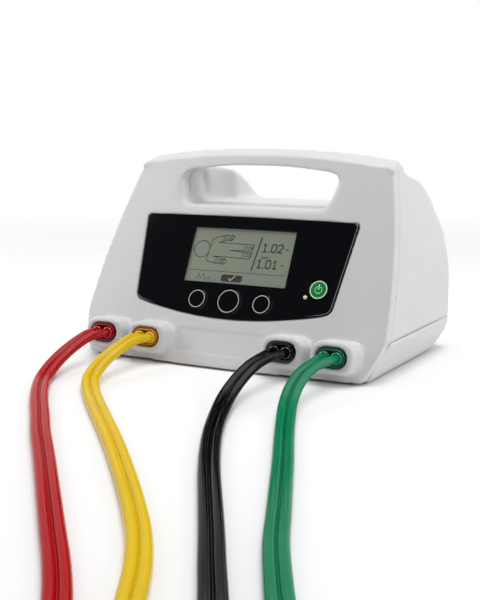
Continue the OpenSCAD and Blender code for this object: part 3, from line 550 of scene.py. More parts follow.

# %% [markdown]
# ## Hose pieces
# One piece stands for the free stretch and the coil of each hose, since it is one hose. Its plug
# is made beside it, and its strap and end connector get their finishes.

# %% Plugs
PLUG_W, PLUG_H = 20.9, 11.9


def plug(colour):
    """An oval moulding with a sunk face, and a round collar for each of the two tubes."""
    f = on_port(colour)
    w, h = PLUG_W, PLUG_H
    rows = [oval(w, h, -15), oval(w, h, -0.3), oval(w - 0.3, h - 0.3, 0.1), oval(w - 1.0, h - 1.0, 0.35),
            oval(w - 1.8, h - 1.8, 0.2), oval(w - 2.3, h - 2.3, -0.6), oval(w - 2.8, h - 2.8, -3.2),
            oval(w - 4.4, h - 4.0, -3.9)]
    body = loft(f"plug_moulding_{colour}", f, rows, plug_looks[colour], sharp=60)
    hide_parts(f"plug_{colour}")
    pieces = [body]
    for name, side in (("a", -1), ("b", 1)):
        x = side * TUBES_AT_PLUG / 2
        collar = [circle(4.5, -4, 32, x), circle(4.5, 0.4, 32, x), circle(4.35, 1.1, 32, x),
                  circle(4.0, 1.6, 32, x), circle(3.5, 1.8, 32, x), circle(3.2, 1.5, 32, x),
                  circle(3.1, 0.4, 32, x)]
        pieces.append(loft(f"plug_collar_{colour}_{name}", f, collar, collar_looks[colour],
                           sharp=60))
    return pieces


print("plug face is", PLUG_W, "by", PLUG_H, "mm")

# %% Hoses, with their plugs, straps and connectors
strap_look = plastic("woven strap", screen(48, 48, 52), 0.85, grain=0.9, bump=0.6, clouds=0.2, cloud_size=8)
connector_look = plastic("pale connector", screen(222, 222, 218), 0.3, bump=0.05)
hoses = {}
for c in COLOURS:
    rows = [[place(*p) for p in row] for row in sweep(HOSE_PATHS[c])]
    points, faces = skin(rows)
    hose = sharpen(from_faces(f"twin_hose_{c}", points, faces, hose_looks[c]), 45)
    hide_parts(f"hose_{c}", f"coil_{c}")
    on_it = plug(c) + [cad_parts[f"tie_{c}"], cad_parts[f"connector_{c}"]]
    mouth = on_port(c) @ Vector((0, 0, 3))
    hoses[c] = hose
    dress(f"tie_{c}", strap_look)
    dress(f"connector_{c}", connector_look)
    dress(f"port_{c}", socket_looks[c])
print("hoses:", list(hoses))

# %% [markdown]
# ## Housing mouldings
# The shells are thin mouldings with soft edges. The model's solids have the right walls and
# openings with sharp edges. A fine even skin is laid over each, and then its points are eased
# towards their neighbours: a little everywhere, more where the mould is round, and hardly where
# the panel and the seams need a crisp line. The grid is turned to the slope first, so that its
# steps lie flat on the face.

# %% Easing points
EASE_STEP = 0.6


def eased(points, edges, amount, passes):
    """Moves each point towards the mean of its neighbours, by its own amount, some times."""
    a, b = edges[:, 0], edges[:, 1]
    n = len(points)
    count = np.bincount(a, minlength=n) + np.bincount(b, minlength=n)
    for _ in range(passes):
        for k in range(3):
            total = np.bincount(a, weights=points[b, k], minlength=n)
            total = total + np.bincount(b, weights=points[a, k], minlength=n)
            mean = total / np.maximum(count, 1)
            points[:, k] += amount * EASE_STEP * (mean - points[:, k])
    return points


def points_of(mesh):
    """A mesh's points in metres, one row each."""
    points = np.empty(len(mesh.vertices) * 3)
    mesh.vertices.foreach_get("co", points)
    return points.reshape(-1, 3)


def to_design(points):
    """Model metres back to millimetres from the foot of the front."""
    return points / MM + np.array([0, FOOT_Y, 0])


def ramp(v, low, high):
    """0 below low, 1 above high, smooth between."""
    t = np.clip((v - low) / (high - low), 0, 1)
    return t * t * (3 - 2 * t)


print("half way up a ramp:", ramp(0.5, 0, 1))


# %% A soft skin over a shell
def moulded(name, node, grid, look, soft_amounts, turn=FACE_TILT):
    """A soft-edged skin over one of the model's shells. Grid is its step in millimetres."""
    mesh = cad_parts[node].data.copy()
    level = Matrix.Rotation(turn, 4, "X")
    mesh.transform(level)
    obj = bpy.data.objects.new(name, mesh)
    bpy.context.scene.collection.objects.link(obj)
    fine = obj.modifiers.new("even skin", "REMESH")
    fine.mode = "VOXEL"
    fine.voxel_size = grid * MM * 1
    fresh = bpy.data.meshes.new_from_object(obj.evaluated_get(bpy.context.evaluated_depsgraph_get()))
    obj.modifiers.clear()
    obj.data = fresh
    fresh.transform(level.inverted())
    points = points_of(fresh)
    edges = np.empty(len(fresh.edges) * 2, int)
    fresh.edges.foreach_get("vertices", edges)
    edges = edges.reshape(-1, 2)
    at = to_design(points)
    for amount, passes in soft_amounts(at[:, 0], at[:, 1], at[:, 2]):
        points = eased(points, edges, amount, passes)
    fresh.vertices.foreach_set("co", points.ravel())
    fresh.polygons.foreach_set("use_smooth", [True] * len(fresh.polygons))
    fresh.materials.clear()
    fresh.materials.append(look)
    fresh.update()
    link(obj, "housing")
    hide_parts(node)
    print(name, "has", len(points), "points")
    return obj


# %% [markdown]
# ## Front
# The front is softest along the handle and on the pads round the sockets. Its bar leans forward,
# so that light from above catches its top as a bright strip. Cutting such a slant with a tool
# would leave a hard edge, so the points near the crest are moved instead: most at the front
# edge, none at the rear one. The two top corners stand out a little. The place for a label is
# sunk by a hair.

# %% Front moulding
FRONT_SEAM = 8.8
PANEL_SIDE, PANEL_FOOT, PANEL_HEAD = 92, 33, 110.5
SLOT_SIDE, LIP_Z, BAR_Z = 74, 111, 140
INNER_PORT, OUTER_PORT = PORT_X["black"], PORT_X["green"]
MOUTH_Z, MOUTH_HALF_H, PAD_HALF_W = 20, 9, 14
PAD_TOP, PAD_START = 34, 36


def front_softness(x, y, z):
    """Where the front is soft: a little everywhere, more on the socket pads, most on the handle."""
    side = np.abs(x)
    seam = ramp(FRONT_SEAM - face_depth(x, y, z), 0.2, 2.5)
    panel = 1 - ramp(PANEL_SIDE - side, 0, 3) * ramp(z, PANEL_FOOT, 37) * ramp(PANEL_HEAD - z, 0, 2)
    mouth_rows = np.abs(z - MOUTH_Z)
    ports = 1 - (np.abs(side - INNER_PORT) < 13) * (mouth_rows < MOUTH_HALF_H) * 0.6
    light = seam * np.maximum(panel, 0.12) * ports
    lip = ramp(z, LIP_Z, 114) * ramp(BAR_Z - z, 0, 6) * ramp(SLOT_SIDE - side, 0, 4) * seam
    mouth = np.minimum(np.abs(side - INNER_PORT), np.abs(side - OUTER_PORT)) / PAD_HALF_W
    off_mouth = ramp(np.maximum(mouth, mouth_rows / MOUTH_HALF_H), 0.9, 1.1)
    pads = ramp(PAD_TOP - z, 0, 3) * ramp(side, PAD_START, 39) * off_mouth * seam
    return [(light, 2), (pads, 9), (lip, 40)]


front = moulded("front_moulding", "front_shell", 1.0, fascia_plastic, front_softness)


# %% Brow of the handle
BROW_DROP, BROW_REACH, SEAM_DEPTH = 5.2, 12.5, 9
CORNER_OUT, CORNER_UP = 1.8, 1.2
CREST_Z, CREST_BEND = 159.2, 0.0007


def brow(obj):
    """Leans the handle's top forward: its front edge sinks down the slope, its rear edge stays."""
    moved = 0
    for v in obj.data.vertices:
        x, y, z = to_design(np.array(v.co))
        depth = face_depth(x, y, z)
        under = CREST_Z - CREST_BEND * x * x - z
        if under < BROW_REACH and depth < SEAM_DEPTH:
            share = 1 - max(depth, 0) / SEAM_DEPTH
            down = BROW_DROP * share * float(1 - ramp(under, 0, BROW_REACH))
            v.co -= Vector((0, down * math.tan(FACE_TILT), down)) * MM
            corner = float(ramp(abs(x), 98, 106) * (1 - ramp(under, 2, 10))) * share
            v.co += Vector((math.copysign(CORNER_OUT, x), 0, CORNER_UP)) * corner * MM
            moved += 1
    return moved


print("brow of the handle:", brow(front), "points moved")


# %% Label place
def sink(obj, x_range, z_range, depth, edge):
    """Sinks a rectangle of the sloping face by a hair, with soft edges."""
    out = Vector((0, -math.cos(FACE_TILT), math.sin(FACE_TILT)))
    moved = 0
    for v in obj.data.vertices:
        x, y, z = to_design(np.array(v.co))
        inside = min(x - x_range[0], x_range[1] - x, z - z_range[0], z_range[1] - z)
        if face_depth(x, y, z) < 1 and inside > 0:
            v.co -= out * depth * MM * float(ramp(inside, 0, edge))
            moved += 1
    return moved


print("label place:", sink(front, (-38, 36), (9.5, 27.5), 0.3, 1.6), "points sunk")

# %% [markdown]
# ## Rear and tray
# The rear has a scooped recess behind the handle with swollen rims beside it, and its two rear
# corners draw in at mid height. These are broad, slow forms, so the points of the rear are moved
# by smooth ramps and no new faces are needed. The tray's rim is lifted until only a fine seam
# is left.

# %% Rear moulding
REAR_SEAM, TRAY_SEAM = 9.3, 27.3
RECESS_Z, RECESS_SIDE = 105, 72


def rear_softness(x, y, z):
    """Where the rear is soft: its body a little, the recess more, its seams hardly."""
    seam = ramp(face_depth(x, y, z) - REAR_SEAM, 0.3, 2.5) * ramp(z - TRAY_SEAM, 0.3, 2.5)
    recess = ramp(z, RECESS_Z, 112) * ramp(RECESS_SIDE - np.abs(x), 0, 8) * seam
    return [(np.maximum(seam, 0.15), 5), (recess, 12)]


rear = moulded("rear_moulding", "rear_shell", 1.2, rear_plastic, rear_softness)
RIM_LIFT, CORNER_IN = 4.2, 3.6


def shape_rear(obj):
    """Swells the rims of the scooped recess and draws the two rear corners in at mid height."""
    points = points_of(obj.data)
    x, y, z = to_design(points).T
    side = np.abs(x)
    floor_z = 117 - 17 * ramp(y, 118, 150)
    rim = ramp(side, 43, 51) * (1 - ramp(side, 62, 92)) * ramp(y, 97, 105) * (1 - ramp(y, 152, 172))
    points[:, 2] += RIM_LIFT * MM * rim * ramp(z - floor_z, 0, 9)
    corner = ramp(side, 84, 118) * ramp(y, 96, 160) * ramp(z, 62, 98) * (1 - ramp(z, 104, 138))
    points[:, 0] -= np.sign(x) * CORNER_IN * 0.6 * MM * corner
    points[:, 1] -= CORNER_IN * 0.8 * MM * corner
    obj.data.vertices.foreach_set("co", points.ravel())


shape_rear(rear)


# %% Lower tray
TRAY_TOP, SEAM_CLOSED = 27, 0.4


def tray_softness(x, y, z):
    """The tray is soft along its foot and crisp at its upper rim."""
    return [(np.maximum(ramp(26.8 - z, 0.3, 2.5), 0.15), 4)]


tray = moulded("tray_moulding", "base_tray", 1.2, rear_plastic, tray_softness, turn=0)
for v in tray.data.vertices:
    v.co.z += SEAM_CLOSED * MM * float(ramp(v.co.z / MM, TRAY_TOP - 1.4, TRAY_TOP - 0.4))

# %% [markdown]
# ## Black panel
# The panel is a thin gloss sheet with a drawn outline and cut-outs. It starts as a flat filled
# curve, whose outline, bevel and holes stay easy to read. It is then sliced into narrow strips
# and laid over the crown of the face, so that reflections slide over it without kinks. A fine
# raised line runs inside each side edge, where the real sheet catches the light: its outer half
# is mid grey, a painted highlight.

# %% Panel outline
def arc(a, b, c, n):
    """Points on the circle through three points, from the first to the last."""
    ax, ay, bx, by, cx, cy = *a, *b, *c
    d = 2 * (ax * (by - cy) + bx * (cy - ay) + cx * (ay - by))
    aa, bb, cc = ax * ax + ay * ay, bx * bx + by * by, cx * cx + cy * cy
    ox = (aa * (by - cy) + bb * (cy - ay) + cc * (ay - by)) / d
    oy = (aa * (cx - bx) + bb * (ax - cx) + cc * (bx - ax)) / d
    r, t0 = math.hypot(ax - ox, ay - oy), math.atan2(ay - oy, ax - ox)
    turn = math.atan2(cy - oy, cx - ox) - t0
    left = (bx - ax) * (cy - by) - (by - ay) * (cx - bx) > 0
    turn = turn % (2 * math.pi) if left else -((-turn) % (2 * math.pi))
    steps = [t0 + turn * i / n for i in range(n + 1)]
    return [(ox + r * math.cos(t), oy + r * math.sin(t)) for t in steps]


PANEL_TOP_Z, PANEL_TOP_W, CORNER_Z, PANEL_BOTTOM_W, SMILE_Z = 108.2, 183.2, 45.5, 166.4, 35.4
top_x, low_x = PANEL_TOP_W / 2, PANEL_BOTTOM_W / 2
smile = arc((1, up_slope(SMILE_Z)), (40, up_slope(SMILE_Z + 2.3)), (low_x - 6, up_slope(CORNER_Z - 1.6)), 16)
low_corner = arc((low_x - 4, up_slope(CORNER_Z - 0.9)), (low_x - 1, up_slope(CORNER_Z + 1)),
                 (low_x + 0.4, up_slope(CORNER_Z + 4)), 6)
top_corner = arc((top_x - 0.5, up_slope(PANEL_TOP_Z - 2.6)), (top_x - 1.2, up_slope(PANEL_TOP_Z - 0.8)),
                 (top_x - 3.4, up_slope(PANEL_TOP_Z)), 6)
half = smile + low_corner + top_corner
PANEL_OUTLINE = half + [(-x, y) for x, y in reversed(half)]
print("panel outline:", len(PANEL_OUTLINE), "points")

# %% A flat sheet on the face
STRIP_W, SHEET_SHARP = 5.0, 12


def flat_sheet(name, outlines, thickness, edge, look, low, crowned=True):
    """A flat sheet from outlines and holes, with rounded edges, laid on the face."""
    curve = bpy.data.curves.new(name, "CURVE")
    curve.dimensions = "2D"
    curve.fill_mode = "BOTH"
    curve.extrude = thickness / 2 - edge
    curve.bevel_depth = edge
    curve.bevel_resolution = 2
    curve.offset = -edge
    for outline in outlines:
        spline = curve.splines.new("POLY")
        spline.points.add(len(outline) - 1)
        for point, (x, y) in zip(spline.points, outline):
            point.co = (x, y, 0, 1)
        spline.use_cyclic_u = True
    obj = bpy.data.objects.new(name, curve)
    bpy.context.scene.collection.objects.link(obj)
    mesh = bpy.data.meshes.new_from_object(obj.evaluated_get(bpy.context.evaluated_depsgraph_get()))
    bpy.data.objects.remove(obj)
    bm = bmesh.new()
    bm.from_mesh(mesh)
    bmesh.ops.remove_doubles(bm, verts=bm.verts, dist=1e-4)
    widest = max(abs(x) for x, _ in outlines[0])
    if crowned:
        for x in np.arange(-widest + STRIP_W, widest, STRIP_W):
            parts = list(bm.verts) + list(bm.edges) + list(bm.faces)
            bmesh.ops.bisect_plane(bm, geom=parts, plane_co=(x, 0, 0), plane_no=(1, 0, 0), dist=1e-4)
    f = on_face()
    for v in bm.verts:
        fall = crown(v.co.x) if crowned else 0
        v.co = f @ Vector((v.co.x, v.co.y, v.co.z + low + thickness / 2 - fall))
    bm.to_mesh(mesh)
    bm.free()
    mesh.polygons.foreach_set("use_smooth", [True] * len(mesh.polygons))
    mesh.materials.clear()
    mesh.materials.append(look)
    return sharpen(link(bpy.data.objects.new(name, mesh), "housing"), SHEET_SHARP)


def flat_circle(x, y, r, n=64):
    """A circle as an outline on the face."""
    return [(x + r * math.cos(a), y + r * math.sin(a)) for a in np.linspace(0, 2 * math.pi, n, False)]


def flat_box(x, y, w, h, r):
    """A rounded box as an outline on the face."""
    return [(x + p.x, y + p.y) for p in rounded(w, h, r)]


# %% Panel with its holes
KEYS = {"left": (-27.5, 47.6, 16.4), "middle": (0, 47.6, 20.2), "right": (27.5, 47.6, 16.4),
        "power": (70.2, 61, 16)}
WINDOW_W, WINDOW_H, WINDOW_Z = 86.6, 44, 79.7
LED_X, LED_Z, LED_D = 61, 55.2, 3
KEY_GAP, PANEL_T, PANEL_PROUD = 0.25, 2, 0.5
panel_holes = [flat_circle(x, up_slope(z), d / 2 + KEY_GAP) for x, z, d in KEYS.values()]
panel_holes.append(flat_box(0, up_slope(WINDOW_Z), WINDOW_W, WINDOW_H, 0.5))
panel_holes.append(flat_circle(LED_X, up_slope(LED_Z), LED_D / 2 + 0.1, 32))
panel = flat_sheet("black_panel", [PANEL_OUTLINE] + panel_holes, PANEL_T, 0.5, panel_plastic,
                   PANEL_PROUD - PANEL_T)
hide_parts("display_panel")
print("panel:", len(panel.data.vertices), "points")

# %% Line along the panel's edge
LINE_MID, LINE_HALF, LINE_RISE, LINE_FADE = 1.2, 0.35, 0.3, 14
LINE_START = low_x - 22
# The line's outer half is painted highlight: a mid grey that stands in for the light the edge catches.
edge_highlight_look = plastic("panel edge painted highlight", screen(128, 130, 134), 0.2, bump=0, clouds=0.1, Coat_Weight=0.5)


def rim_line(side):
    """A fine raised line just inside the sheet's side edge: black towards the screen, painted highlight
    outside.

    It thins out almost to nothing over its last stretch, on the sheet's bottom curve.
    """
    run = [Vector(p) for p in half if p[0] > LINE_START]
    low_end = min(run, key=lambda p: p.y)
    f = on_face()
    rows = []
    for k, p in enumerate(run):
        ahead = (run[min(k + 1, len(run) - 1)] - run[max(k - 1, 0)]).normalized()
        inward = Vector((-ahead.y, ahead.x))
        full = max(0.05, min(1, (p - low_end).length / LINE_FADE))
        row = []
        for across, rise in ((-LINE_HALF, 0.02), (0, LINE_RISE * full), (LINE_HALF, 0.02)):
            q = p + (LINE_MID + across * full) * inward
            row.append(f @ Vector((side * q.x, q.y, PANEL_PROUD + rise - crown(q.x))))
        rows.append(row)
    for name, look, a in (("pale", edge_highlight_look, 0), ("dark", panel_plastic, 1)):
        strip = [row[a:a + 2] for row in rows]
        points, faces = skin(strip, False, False, ring=False)
        faces = [tuple(reversed(q)) for q in faces] if side > 0 else faces
        end = "right" if side > 0 else "left"
        from_faces(f"panel_line_{end}_{name}", points, faces, look)


for side in (-1, 1):
    rim_line(side)
print("line along the edge is", 2 * LINE_HALF, "mm wide")

# %% [markdown]
# ## Screen
# The screen is a plain grey-green reflective display under a clear pane. Its picture is generic:
# a plain outline figure lying on its side with a band on each limb, two plain numbers, a line
# drawing of a pulse and one soft key sign. The marks are thin flat ribbons, a hair above it.

# %% Screen sheet and pane
screen_look = plastic("screen sheet", screen(122, 130, 110), 0.5, bump=0, clouds=0.1, cloud_size=25)
marks_look = plastic("screen marks", screen(8, 12, 8), 0.6, bump=0, clouds=0.05, Specular_IOR_Level=0.1)
paper_look = plastic("screen light marks", screen(170, 176, 146), 0.6, bump=0, clouds=0.05)
pane_look = plastic("clear pane", screen(235, 238, 235), 0.06, bump=0, clouds=0.02, Alpha=0.03,
                    Specular_IOR_Level=0.2)
SCREEN_Y = up_slope(WINDOW_Z)
flat_sheet("screen_sheet", [flat_box(0, SCREEN_Y, 86.4, 43.8, 0.4)], 0.3, 0.05, screen_look,
           -1.72, crowned=False)
pane = flat_sheet("screen_pane", [flat_box(0, SCREEN_Y, 86.3, 43.7, 0.4)], 1.0, 0.15, pane_look,
                  -0.9, crowned=False)
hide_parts("screen_window")
print("screen's middle is", round(SCREEN_Y, 1), "mm up the slope")

# %% Flat marks
MARK_TOP = -1.39


def ribbon(points, width, closed=False):
    """Flat quads along a line of points, as rows of four corners."""
    pts = [Vector(p) for p in points]
    if closed:
        pts.append(pts[0])
    quads = []
    for a, b in zip(pts, pts[1:]):
        ahead = (b - a).normalized()
        aside = Vector((-ahead.y, ahead.x)) * width / 2
        ahead = ahead * width * 0.4
        quads.append([a - ahead + aside, a - ahead - aside, b + ahead - aside, b + ahead + aside])
    return quads


def flat_marks(name, shapes, look, top, centre=(0, SCREEN_Y), body="housing", crowned_at=None):
    """Thin flat shapes on the face, from corner lists in millimetres about a centre."""
    f = on_face()
    points, faces = [], []
    fall = crown(crowned_at) if crowned_at is not None else 0
    for shape in shapes:
        start = len(points)
        points += [f @ Vector((centre[0] + p[0], centre[1] + p[1], top - fall)) for p in shape]
        faces.append(tuple(range(start, start + len(shape))))
    return from_faces(name, points, faces, look, body, smooth=False)


# %% Plain numbers
STROKES = {
    "0": [[(0, 0.15), (0, 0.85), (0.15, 1), (0.45, 1), (0.6, 0.85), (0.6, 0.15), (0.45, 0), (0.15, 0),
           (0, 0.15)]],
    "1": [[(0.1, 0.8), (0.32, 1), (0.32, 0)], [(0.1, 0), (0.54, 0)]],
    "2": [[(0, 0.82), (0.15, 1), (0.45, 1), (0.6, 0.84), (0.6, 0.62), (0, 0), (0.6, 0)]],
    "3": [[(0, 0.9), (0.15, 1), (0.45, 1), (0.6, 0.85), (0.6, 0.65), (0.4, 0.53), (0.6, 0.4), (0.6, 0.15),
           (0.45, 0), (0.15, 0), (0, 0.12)]],
    "4": [[(0.45, 0), (0.45, 1), (0, 0.3), (0.6, 0.3)]],
    ".": [[(0.0, 0.0), (0.06, 0.0)]],
}


def number(text, x, y, height, width):
    """Ribbons of a plain number, its lower left corner at a point."""
    quads = []
    for sign in text:
        for line in STROKES[sign]:
            quads += ribbon([(x + height * a, y + height * b) for a, b in line], width)
        x += height * (0.36 if sign == "." else 0.86)
    return quads


print("signs drawn as strokes:", "".join(STROKES))

# %% Drawing on the screen
FIGURE = [(-26.5, 13.5), (-17, 16.5), (-10, 17.3), (-8, 15.5), (-9.5, 13.2), (-16.5, 12.2), (-21, 10.8),
          (-6, 10.4), (9.8, 10.3), (9.6, 7), (8.2, 5.2), (-10, 4.8), (8.6, 3.6), (9.2, 0.6), (7.6, -1.2),
          (-4, -0.8), (-23.5, -0.6), (-18.8, -1.4), (-11.6, -2.6), (-10.8, -4.8), (-13, -6.6), (-20, -6.2),
          (-28.6, -4.6)]
marks = ribbon(FIGURE, 0.55, closed=True)
marks += ribbon(flat_circle(-34.2, 4.6, 6.8, 28), 0.55, closed=True)
marks += ribbon([(15.3, 16.6), (11.9, -9.6)], 1.1)
marks += ribbon([(-41.5, -12.6), (41.5, -12.2)], 0.4)
for x, y in ((-17.6, 12.4), (2, 5.6), (1.2, -0.6), (-21, -6.4)):
    marks += ribbon([(x, y), (x + 1, y + 4.6)], 0.5) + ribbon([(x + 7.2, y + 0.2), (x + 8.2, y + 4.8)], 0.5)
for text, x, y in (("131", -15.8, 13.4), ("134", 3.6, 6.6), ("133", 3, 0.6), ("130", -19.2, -5.4)):
    marks += number(text, x, y, 2.4, 0.42)
marks += number("1.02", 17.6, 5.4, 6.2, 1.05)
marks += number("1.01", 15.6, -7.4, 6.2, 1.05)
for x, y in ((37, 8), (35.6, -4.4)):
    marks += ribbon([(x, y), (x + 2, y)], 0.8)
marks += ribbon([(18.4, 1.2), (25.4, 1.2)], 0.5) + ribbon([(18.2, 0), (23.4, 0)], 0.5)
PULSE = [(-34, -20), (-32, -15.2), (-30, -19), (-27.6, -15.4), (-25.6, -19.4), (-23, -17.2), (-21.4, -19.4)]
marks += ribbon(PULSE, 0.4)
marks.append([Vector(p) for p in flat_box(-3, -17.4, 18.6, 5.6, 2.6)])
flat_marks("screen_marks", marks, marks_look, MARK_TOP)
tick = ribbon([(-5.4, -17.6), (-3.8, -19.2), (-0.4, -15.4)], 0.8)
flat_marks("screen_tick", tick, paper_look, MARK_TOP + 0.02)
print("marks on the screen:", len(marks))

# %% [markdown]
# ## Keys and lamp
# The three keys are gloss black caps that hardly stand out from the panel. Each has a thin white
# ring printed a little inside its edge. The power key is a black cap too, with a green face in a
# pale ring and the plain on and off sign. The lamp beside it is a small cream dome. Prints are
# real thin faces that ride on their key, so they stay sharp from any distance.

# %% Printed rings
print_look = plastic("white print", screen(198, 200, 202), 0.4, bump=0, clouds=0.03)
KEY_TOP, RING_WIDTH = 0.9, 0.55


def printed_ring(name, key, r_out, r_in, lift, look):
    """A thin printed ring on a key, riding on it."""
    x, z, _ = KEYS[key]
    f = on_face()
    y, top = up_slope(z), KEY_TOP + lift - crown(x)
    rows = [[f @ Vector((x + p.x, y + p.y, top)) for p in circle(r, 0)] for r in (r_out, r_in)]
    points, faces = skin(rows, False, False)
    body = "power_button" if key == "power" else f"key_{key}"
    return from_faces(name, points, [tuple(reversed(q)) for q in faces], look, body)


for key, r in (("left", 6.9), ("middle", 8.9), ("right", 6.9)):
    printed_ring(f"ring_{key}", key, r, r - RING_WIDTH, 0.03, print_look)
print("rings are", RING_WIDTH, "mm wide")

# %% Power key
power_green = plastic("power green", screen(8, 138, 62), 0.25, bump=0, clouds=0.08, Specular_IOR_Level=0.2)
power_deep = plastic("power deep green", screen(4, 96, 44), 0.3, bump=0, clouds=0.08)
power_pale = plastic("power pale ring", screen(206, 236, 208), 0.35, bump=0, clouds=0.05)


def key_row(r, top):
    """A circle on the power key's own axis."""
    x, z, _ = KEYS["power"]
    return [Vector((x + p.x, up_slope(z) + p.y, top - crown(x))) for p in circle(r, 0)]


CAP_SHAPE = [(4, -4), (8, -4), (8, 0.55), (7.85, 0.8), (7.5, KEY_TOP), (6.6, KEY_TOP), (6, 0.6), (4, 0.6)]
FACE_SHAPE = [(6.9, 0.7), (6.9, 0.94), (6.2, 0.94), (5.9, 0.78), (5.5, 0.76), (2.6, 0.86), (0.4, 0.9)]
cap_rows, face_rows = [[key_row(r, top) for r, top in shape] for shape in (CAP_SHAPE, FACE_SHAPE)]
power_cap = loft("power_cap", on_face(), cap_rows, panel_plastic, "power_button")
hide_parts("power_button")
loft("power_face", on_face(), face_rows, power_green, "power_button")
printed_ring("power_rim", "power", 6.85, 6.05, 0.06, power_pale)
printed_ring("power_inner", "power", 4.7, 4.25, -0.04, power_deep)
power_x, power_z, _ = KEYS["power"]
sign = ribbon([(0, 0.5), (0, 3.9)], 0.75)
open_ring = [math.radians(a) for a in range(-235, 56, 10)]
sign += ribbon([(2.7 * math.cos(a), 2.7 * math.sin(a)) for a in open_ring], 0.65)
flat_marks("power_sign", sign, power_pale, KEY_TOP + 0.02, (power_x, up_slope(power_z)),
           "power_button", power_x)
print("power key at x =", power_x, "mm")

# %% Lamp
lamp_look = plastic("cream lamp", screen(232, 222, 182), 0.2, bump=0, Coat_Weight=0.5)
lamp_rows = [[Vector((LED_X + p.x, up_slope(LED_Z) + p.y, top - crown(LED_X))) for p in circle(r, 0, 32)]
             for r, top in ((1.5, -11), (1.5, 0.5), (1.4, 0.8), (1.1, 1.05), (0.6, 1.2), (0.1, 1.25))]
lamp = loft("lamp_dome", on_face(), lamp_rows, lamp_look)
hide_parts("status_light")
print("keys and lamp made")

# %% [markdown]
# ## The other solids
# What stays as the model made it gets a fitting finish: plain steel screws and valves, dark
# sockets, rubber feet, green boards. Most of these sit inside or underneath, and show when the
# unit is opened or turned over. The solids already have the right shape, so they only change
# their material.

# %% Finishes for the solids that stay
steel = plastic("plain steel", screen(170, 170, 174), 0.3, bump=0.05, clouds=0.08, Metallic=1)
dark = plastic("dark plastic", screen(34, 34, 36), 0.45)
rubber = plastic("foot rubber", screen(52, 52, 54), 0.8, bump=0.4, clouds=0.1)
board = plastic("board green", screen(24, 96, 48), 0.35, bump=0.05, clouds=0.1, cloud_size=12)
clear_tube = plastic("clear tube", screen(214, 218, 214), 0.2, bump=0, clouds=0.04, Coat_Weight=0.3)
battery_look = plastic("battery wrap", screen(40, 78, 150), 0.25, bump=0.05, clouds=0.08)
KEPT = {
    steel: ["key_switches", "case_screws", "door_screws", "data_socket", "pump_left", "pump_right",
            "valve_manifold", "solenoid_valves"],
    dark: ["pressure_sensors", "power_inlet", "screen_module"],
    rubber: ["pump_cradles", "feet"],
    board: ["keypad_board", "main_board"],
    clear_tube: ["inner_tubes"],
    battery_look: ["battery_pack"],
    rear_plastic: ["battery_door"],
    panel_plastic: ["key_left", "key_middle", "key_right"],
}
for look, names in KEPT.items():
    for name in names:
        dress(name, look)
print("kept solids:", sum(len(v) for v in KEPT.values()))

# %% [markdown]
# ## Table, backdrop and light
# The photograph was taken on white, so the camera sees the floor and the room as white while
# the unit is lit at a plain level. The floor mixes its lit surface, which holds the soft shadow,
# with plain white that only the camera, reflections and clear parts see. Away from the unit the
# white takes over, so that no horizon shows. Close under an edge, where little of the room is
# open above the floor, the white gives way and leaves a narrow dark line of contact.

# %% Floor
WHITE_NEAR, WHITE_FAR = 0.45, 1.0
PAGE_NEAR, PAGE_FAR = 0.55, 1.3
CONTACT, SHUT_IN, OPEN = 0.02, 0.45, 0.8


def white_floor():
    """A pale floor that keeps the shadow and shows white elsewhere."""
    look = bpy.data.materials.new("white floor")
    look.use_nodes = True
    tree = look.node_tree
    lit = tree.nodes["Principled BSDF"]
    lit.inputs["Base Color"].default_value = (0.9, 0.9, 0.9, 1)
    lit.inputs["Roughness"].default_value = 0.9
    lit.inputs["Specular IOR Level"].default_value = 0.2
    white = add_node(tree, "Emission", {"Strength": 1})
    mixed = add_node(tree, "MixShader")
    rays = add_node(tree, "LightPath")
    spot = add_node(tree, "TexCoord")
    away = add_node(tree, "VectorMath", operation="LENGTH")
    share = add_node(tree, "MapRange", {"From Min": PAGE_NEAR, "From Max": PAGE_FAR, "To Min": WHITE_NEAR,
                                        "To Max": WHITE_FAR}, interpolation_type="SMOOTHSTEP")
    seen = add_node(tree, "Math", operation="MAXIMUM")
    also_seen = add_node(tree, "Math", operation="MAXIMUM")
    part = add_node(tree, "Math", operation="MULTIPLY")
    under = add_node(tree, "AmbientOcclusion", {"Distance": CONTACT})
    open_floor = add_node(tree, "MapRange", {"From Min": SHUT_IN, "From Max": OPEN})
    bare = add_node(tree, "Math", operation="MULTIPLY")
    join(tree, [
        (rays, "Is Camera Ray", seen, 0),
        (rays, "Is Glossy Ray", seen, 1),
        (seen, 0, also_seen, 0),
        (rays, "Is Transmission Ray", also_seen, 1),
        (spot, "Object", away, 0),
        (away, "Value", share, "Value"),
        (under, "AO", open_floor, "Value"),
        (share, "Result", bare, 0),
        (open_floor, "Result", bare, 1),
        (bare, 0, part, 0),
        (also_seen, 0, part, 1),
        (part, 0, mixed, 0),
        (lit, 0, mixed, 1),
        (white, 0, mixed, 2),
        (mixed, 0, tree.nodes["Material Output"], "Surface"),
    ])
    return look


FLOOR_HALF = 6
floor_mesh = bpy.data.meshes.new("floor")
floor_mesh.from_pydata([(-FLOOR_HALF, -FLOOR_HALF, 0), (FLOOR_HALF, -FLOOR_HALF, 0),
                        (FLOOR_HALF, FLOOR_HALF, 0), (-FLOOR_HALF, FLOOR_HALF, 0)], [], [(0, 1, 2, 3)])
floor_mesh.materials.append(white_floor())
floor = bpy.data.objects.new("floor", floor_mesh)
bpy.context.scene.collection.objects.link(floor)
print("floor is", 2 * FLOOR_HALF, "m wide")

# %% [markdown]
# ## Room
# The camera and clear parts see the room as white. Its light is stronger behind the unit and
# dimmer in front, as in a studio where the photographer stands in the dark: that keeps the
# black panel black, and the front of the housing a tone darker than its sides.

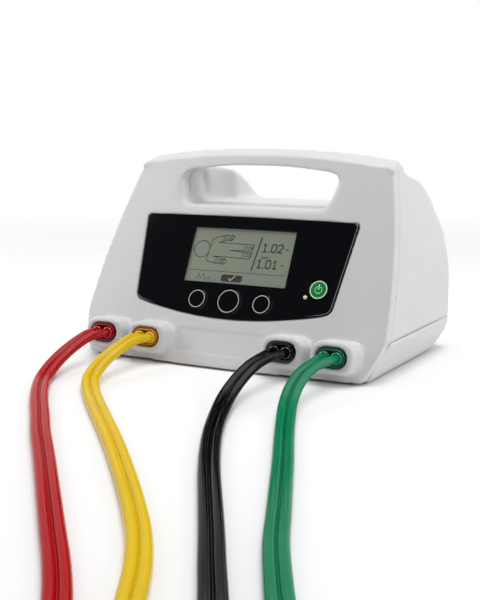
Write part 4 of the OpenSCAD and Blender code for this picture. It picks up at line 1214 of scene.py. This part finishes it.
# %% Room light
LIGHT_IN_FRONT, LIGHT_BEHIND = 0.32, 0.62
GLOSS_IN_FRONT, GLOSS_BEHIND = 0.25, 1
world = bpy.data.worlds.new("room")
bpy.context.scene.world = world
world.use_nodes = True
tree = world.node_tree
backdrop = tree.nodes["Background"]
backdrop.inputs["Color"].default_value = (1, 1, 1, 1)
rays = add_node(tree, "LightPath")
aim = add_node(tree, "TexCoord")
parts = add_node(tree, "SeparateXYZ")
behind = add_node(tree, "MapRange", {"From Min": -0.4, "From Max": 0.4})
for_light = add_node(tree, "Mix", {"A": LIGHT_IN_FRONT, "B": LIGHT_BEHIND})
for_shine = add_node(tree, "Mix", {"A": GLOSS_IN_FRONT, "B": GLOSS_BEHIND})
for_gloss = add_node(tree, "Mix")
seen = add_node(tree, "Math", operation="MAXIMUM")
for_eyes = add_node(tree, "Mix", {"B": 1})
join(tree, [
    (aim, "Generated", parts, "Vector"),
    (parts, "Y", behind, "Value"),
    (behind, "Result", for_light, "Factor"),
    (behind, "Result", for_shine, "Factor"),
    (rays, "Is Glossy Ray", for_gloss, "Factor"),
    (for_light, "Result", for_gloss, "A"),
    (for_shine, "Result", for_gloss, "B"),
    (rays, "Is Camera Ray", seen, 0),
    (rays, "Is Transmission Ray", seen, 1),
    (seen, 0, for_eyes, "Factor"),
    (for_gloss, "Result", for_eyes, "A"),
    (for_eyes, "Result", backdrop, "Strength"),
])
print("room light in front and behind:", LIGHT_IN_FRONT, LIGHT_BEHIND)


# %% Lamps
def soft_lamp(name, at, towards, size, power):
    """A large square lamp aimed at a point, with places and size in metres and power in watts."""
    data = bpy.data.lights.new(name, "AREA")
    data.size = size
    data.energy = power
    lamp_object = bpy.data.objects.new(name, data)
    lamp_object.location = at
    lamp_object.rotation_euler = (Vector(towards) - Vector(at)).to_track_quat("-Z", "Y").to_euler()
    bpy.context.scene.collection.objects.link(lamp_object)
    return lamp_object


soft_lamp("top light", (0.15, 0.1, 1.5), (0, 0, 0.05), 1.0, 12.8)
soft_lamp("right light", (1.5, 0.2, 0.8), (0, 0, 0.08), 0.9, 6.5)
soft_lamp("left light", (-1.1, -0.4, 0.75), (-0.05, 0, 0.08), 0.7, 6)
scene = bpy.context.scene
scene.view_settings.view_transform = "Standard"
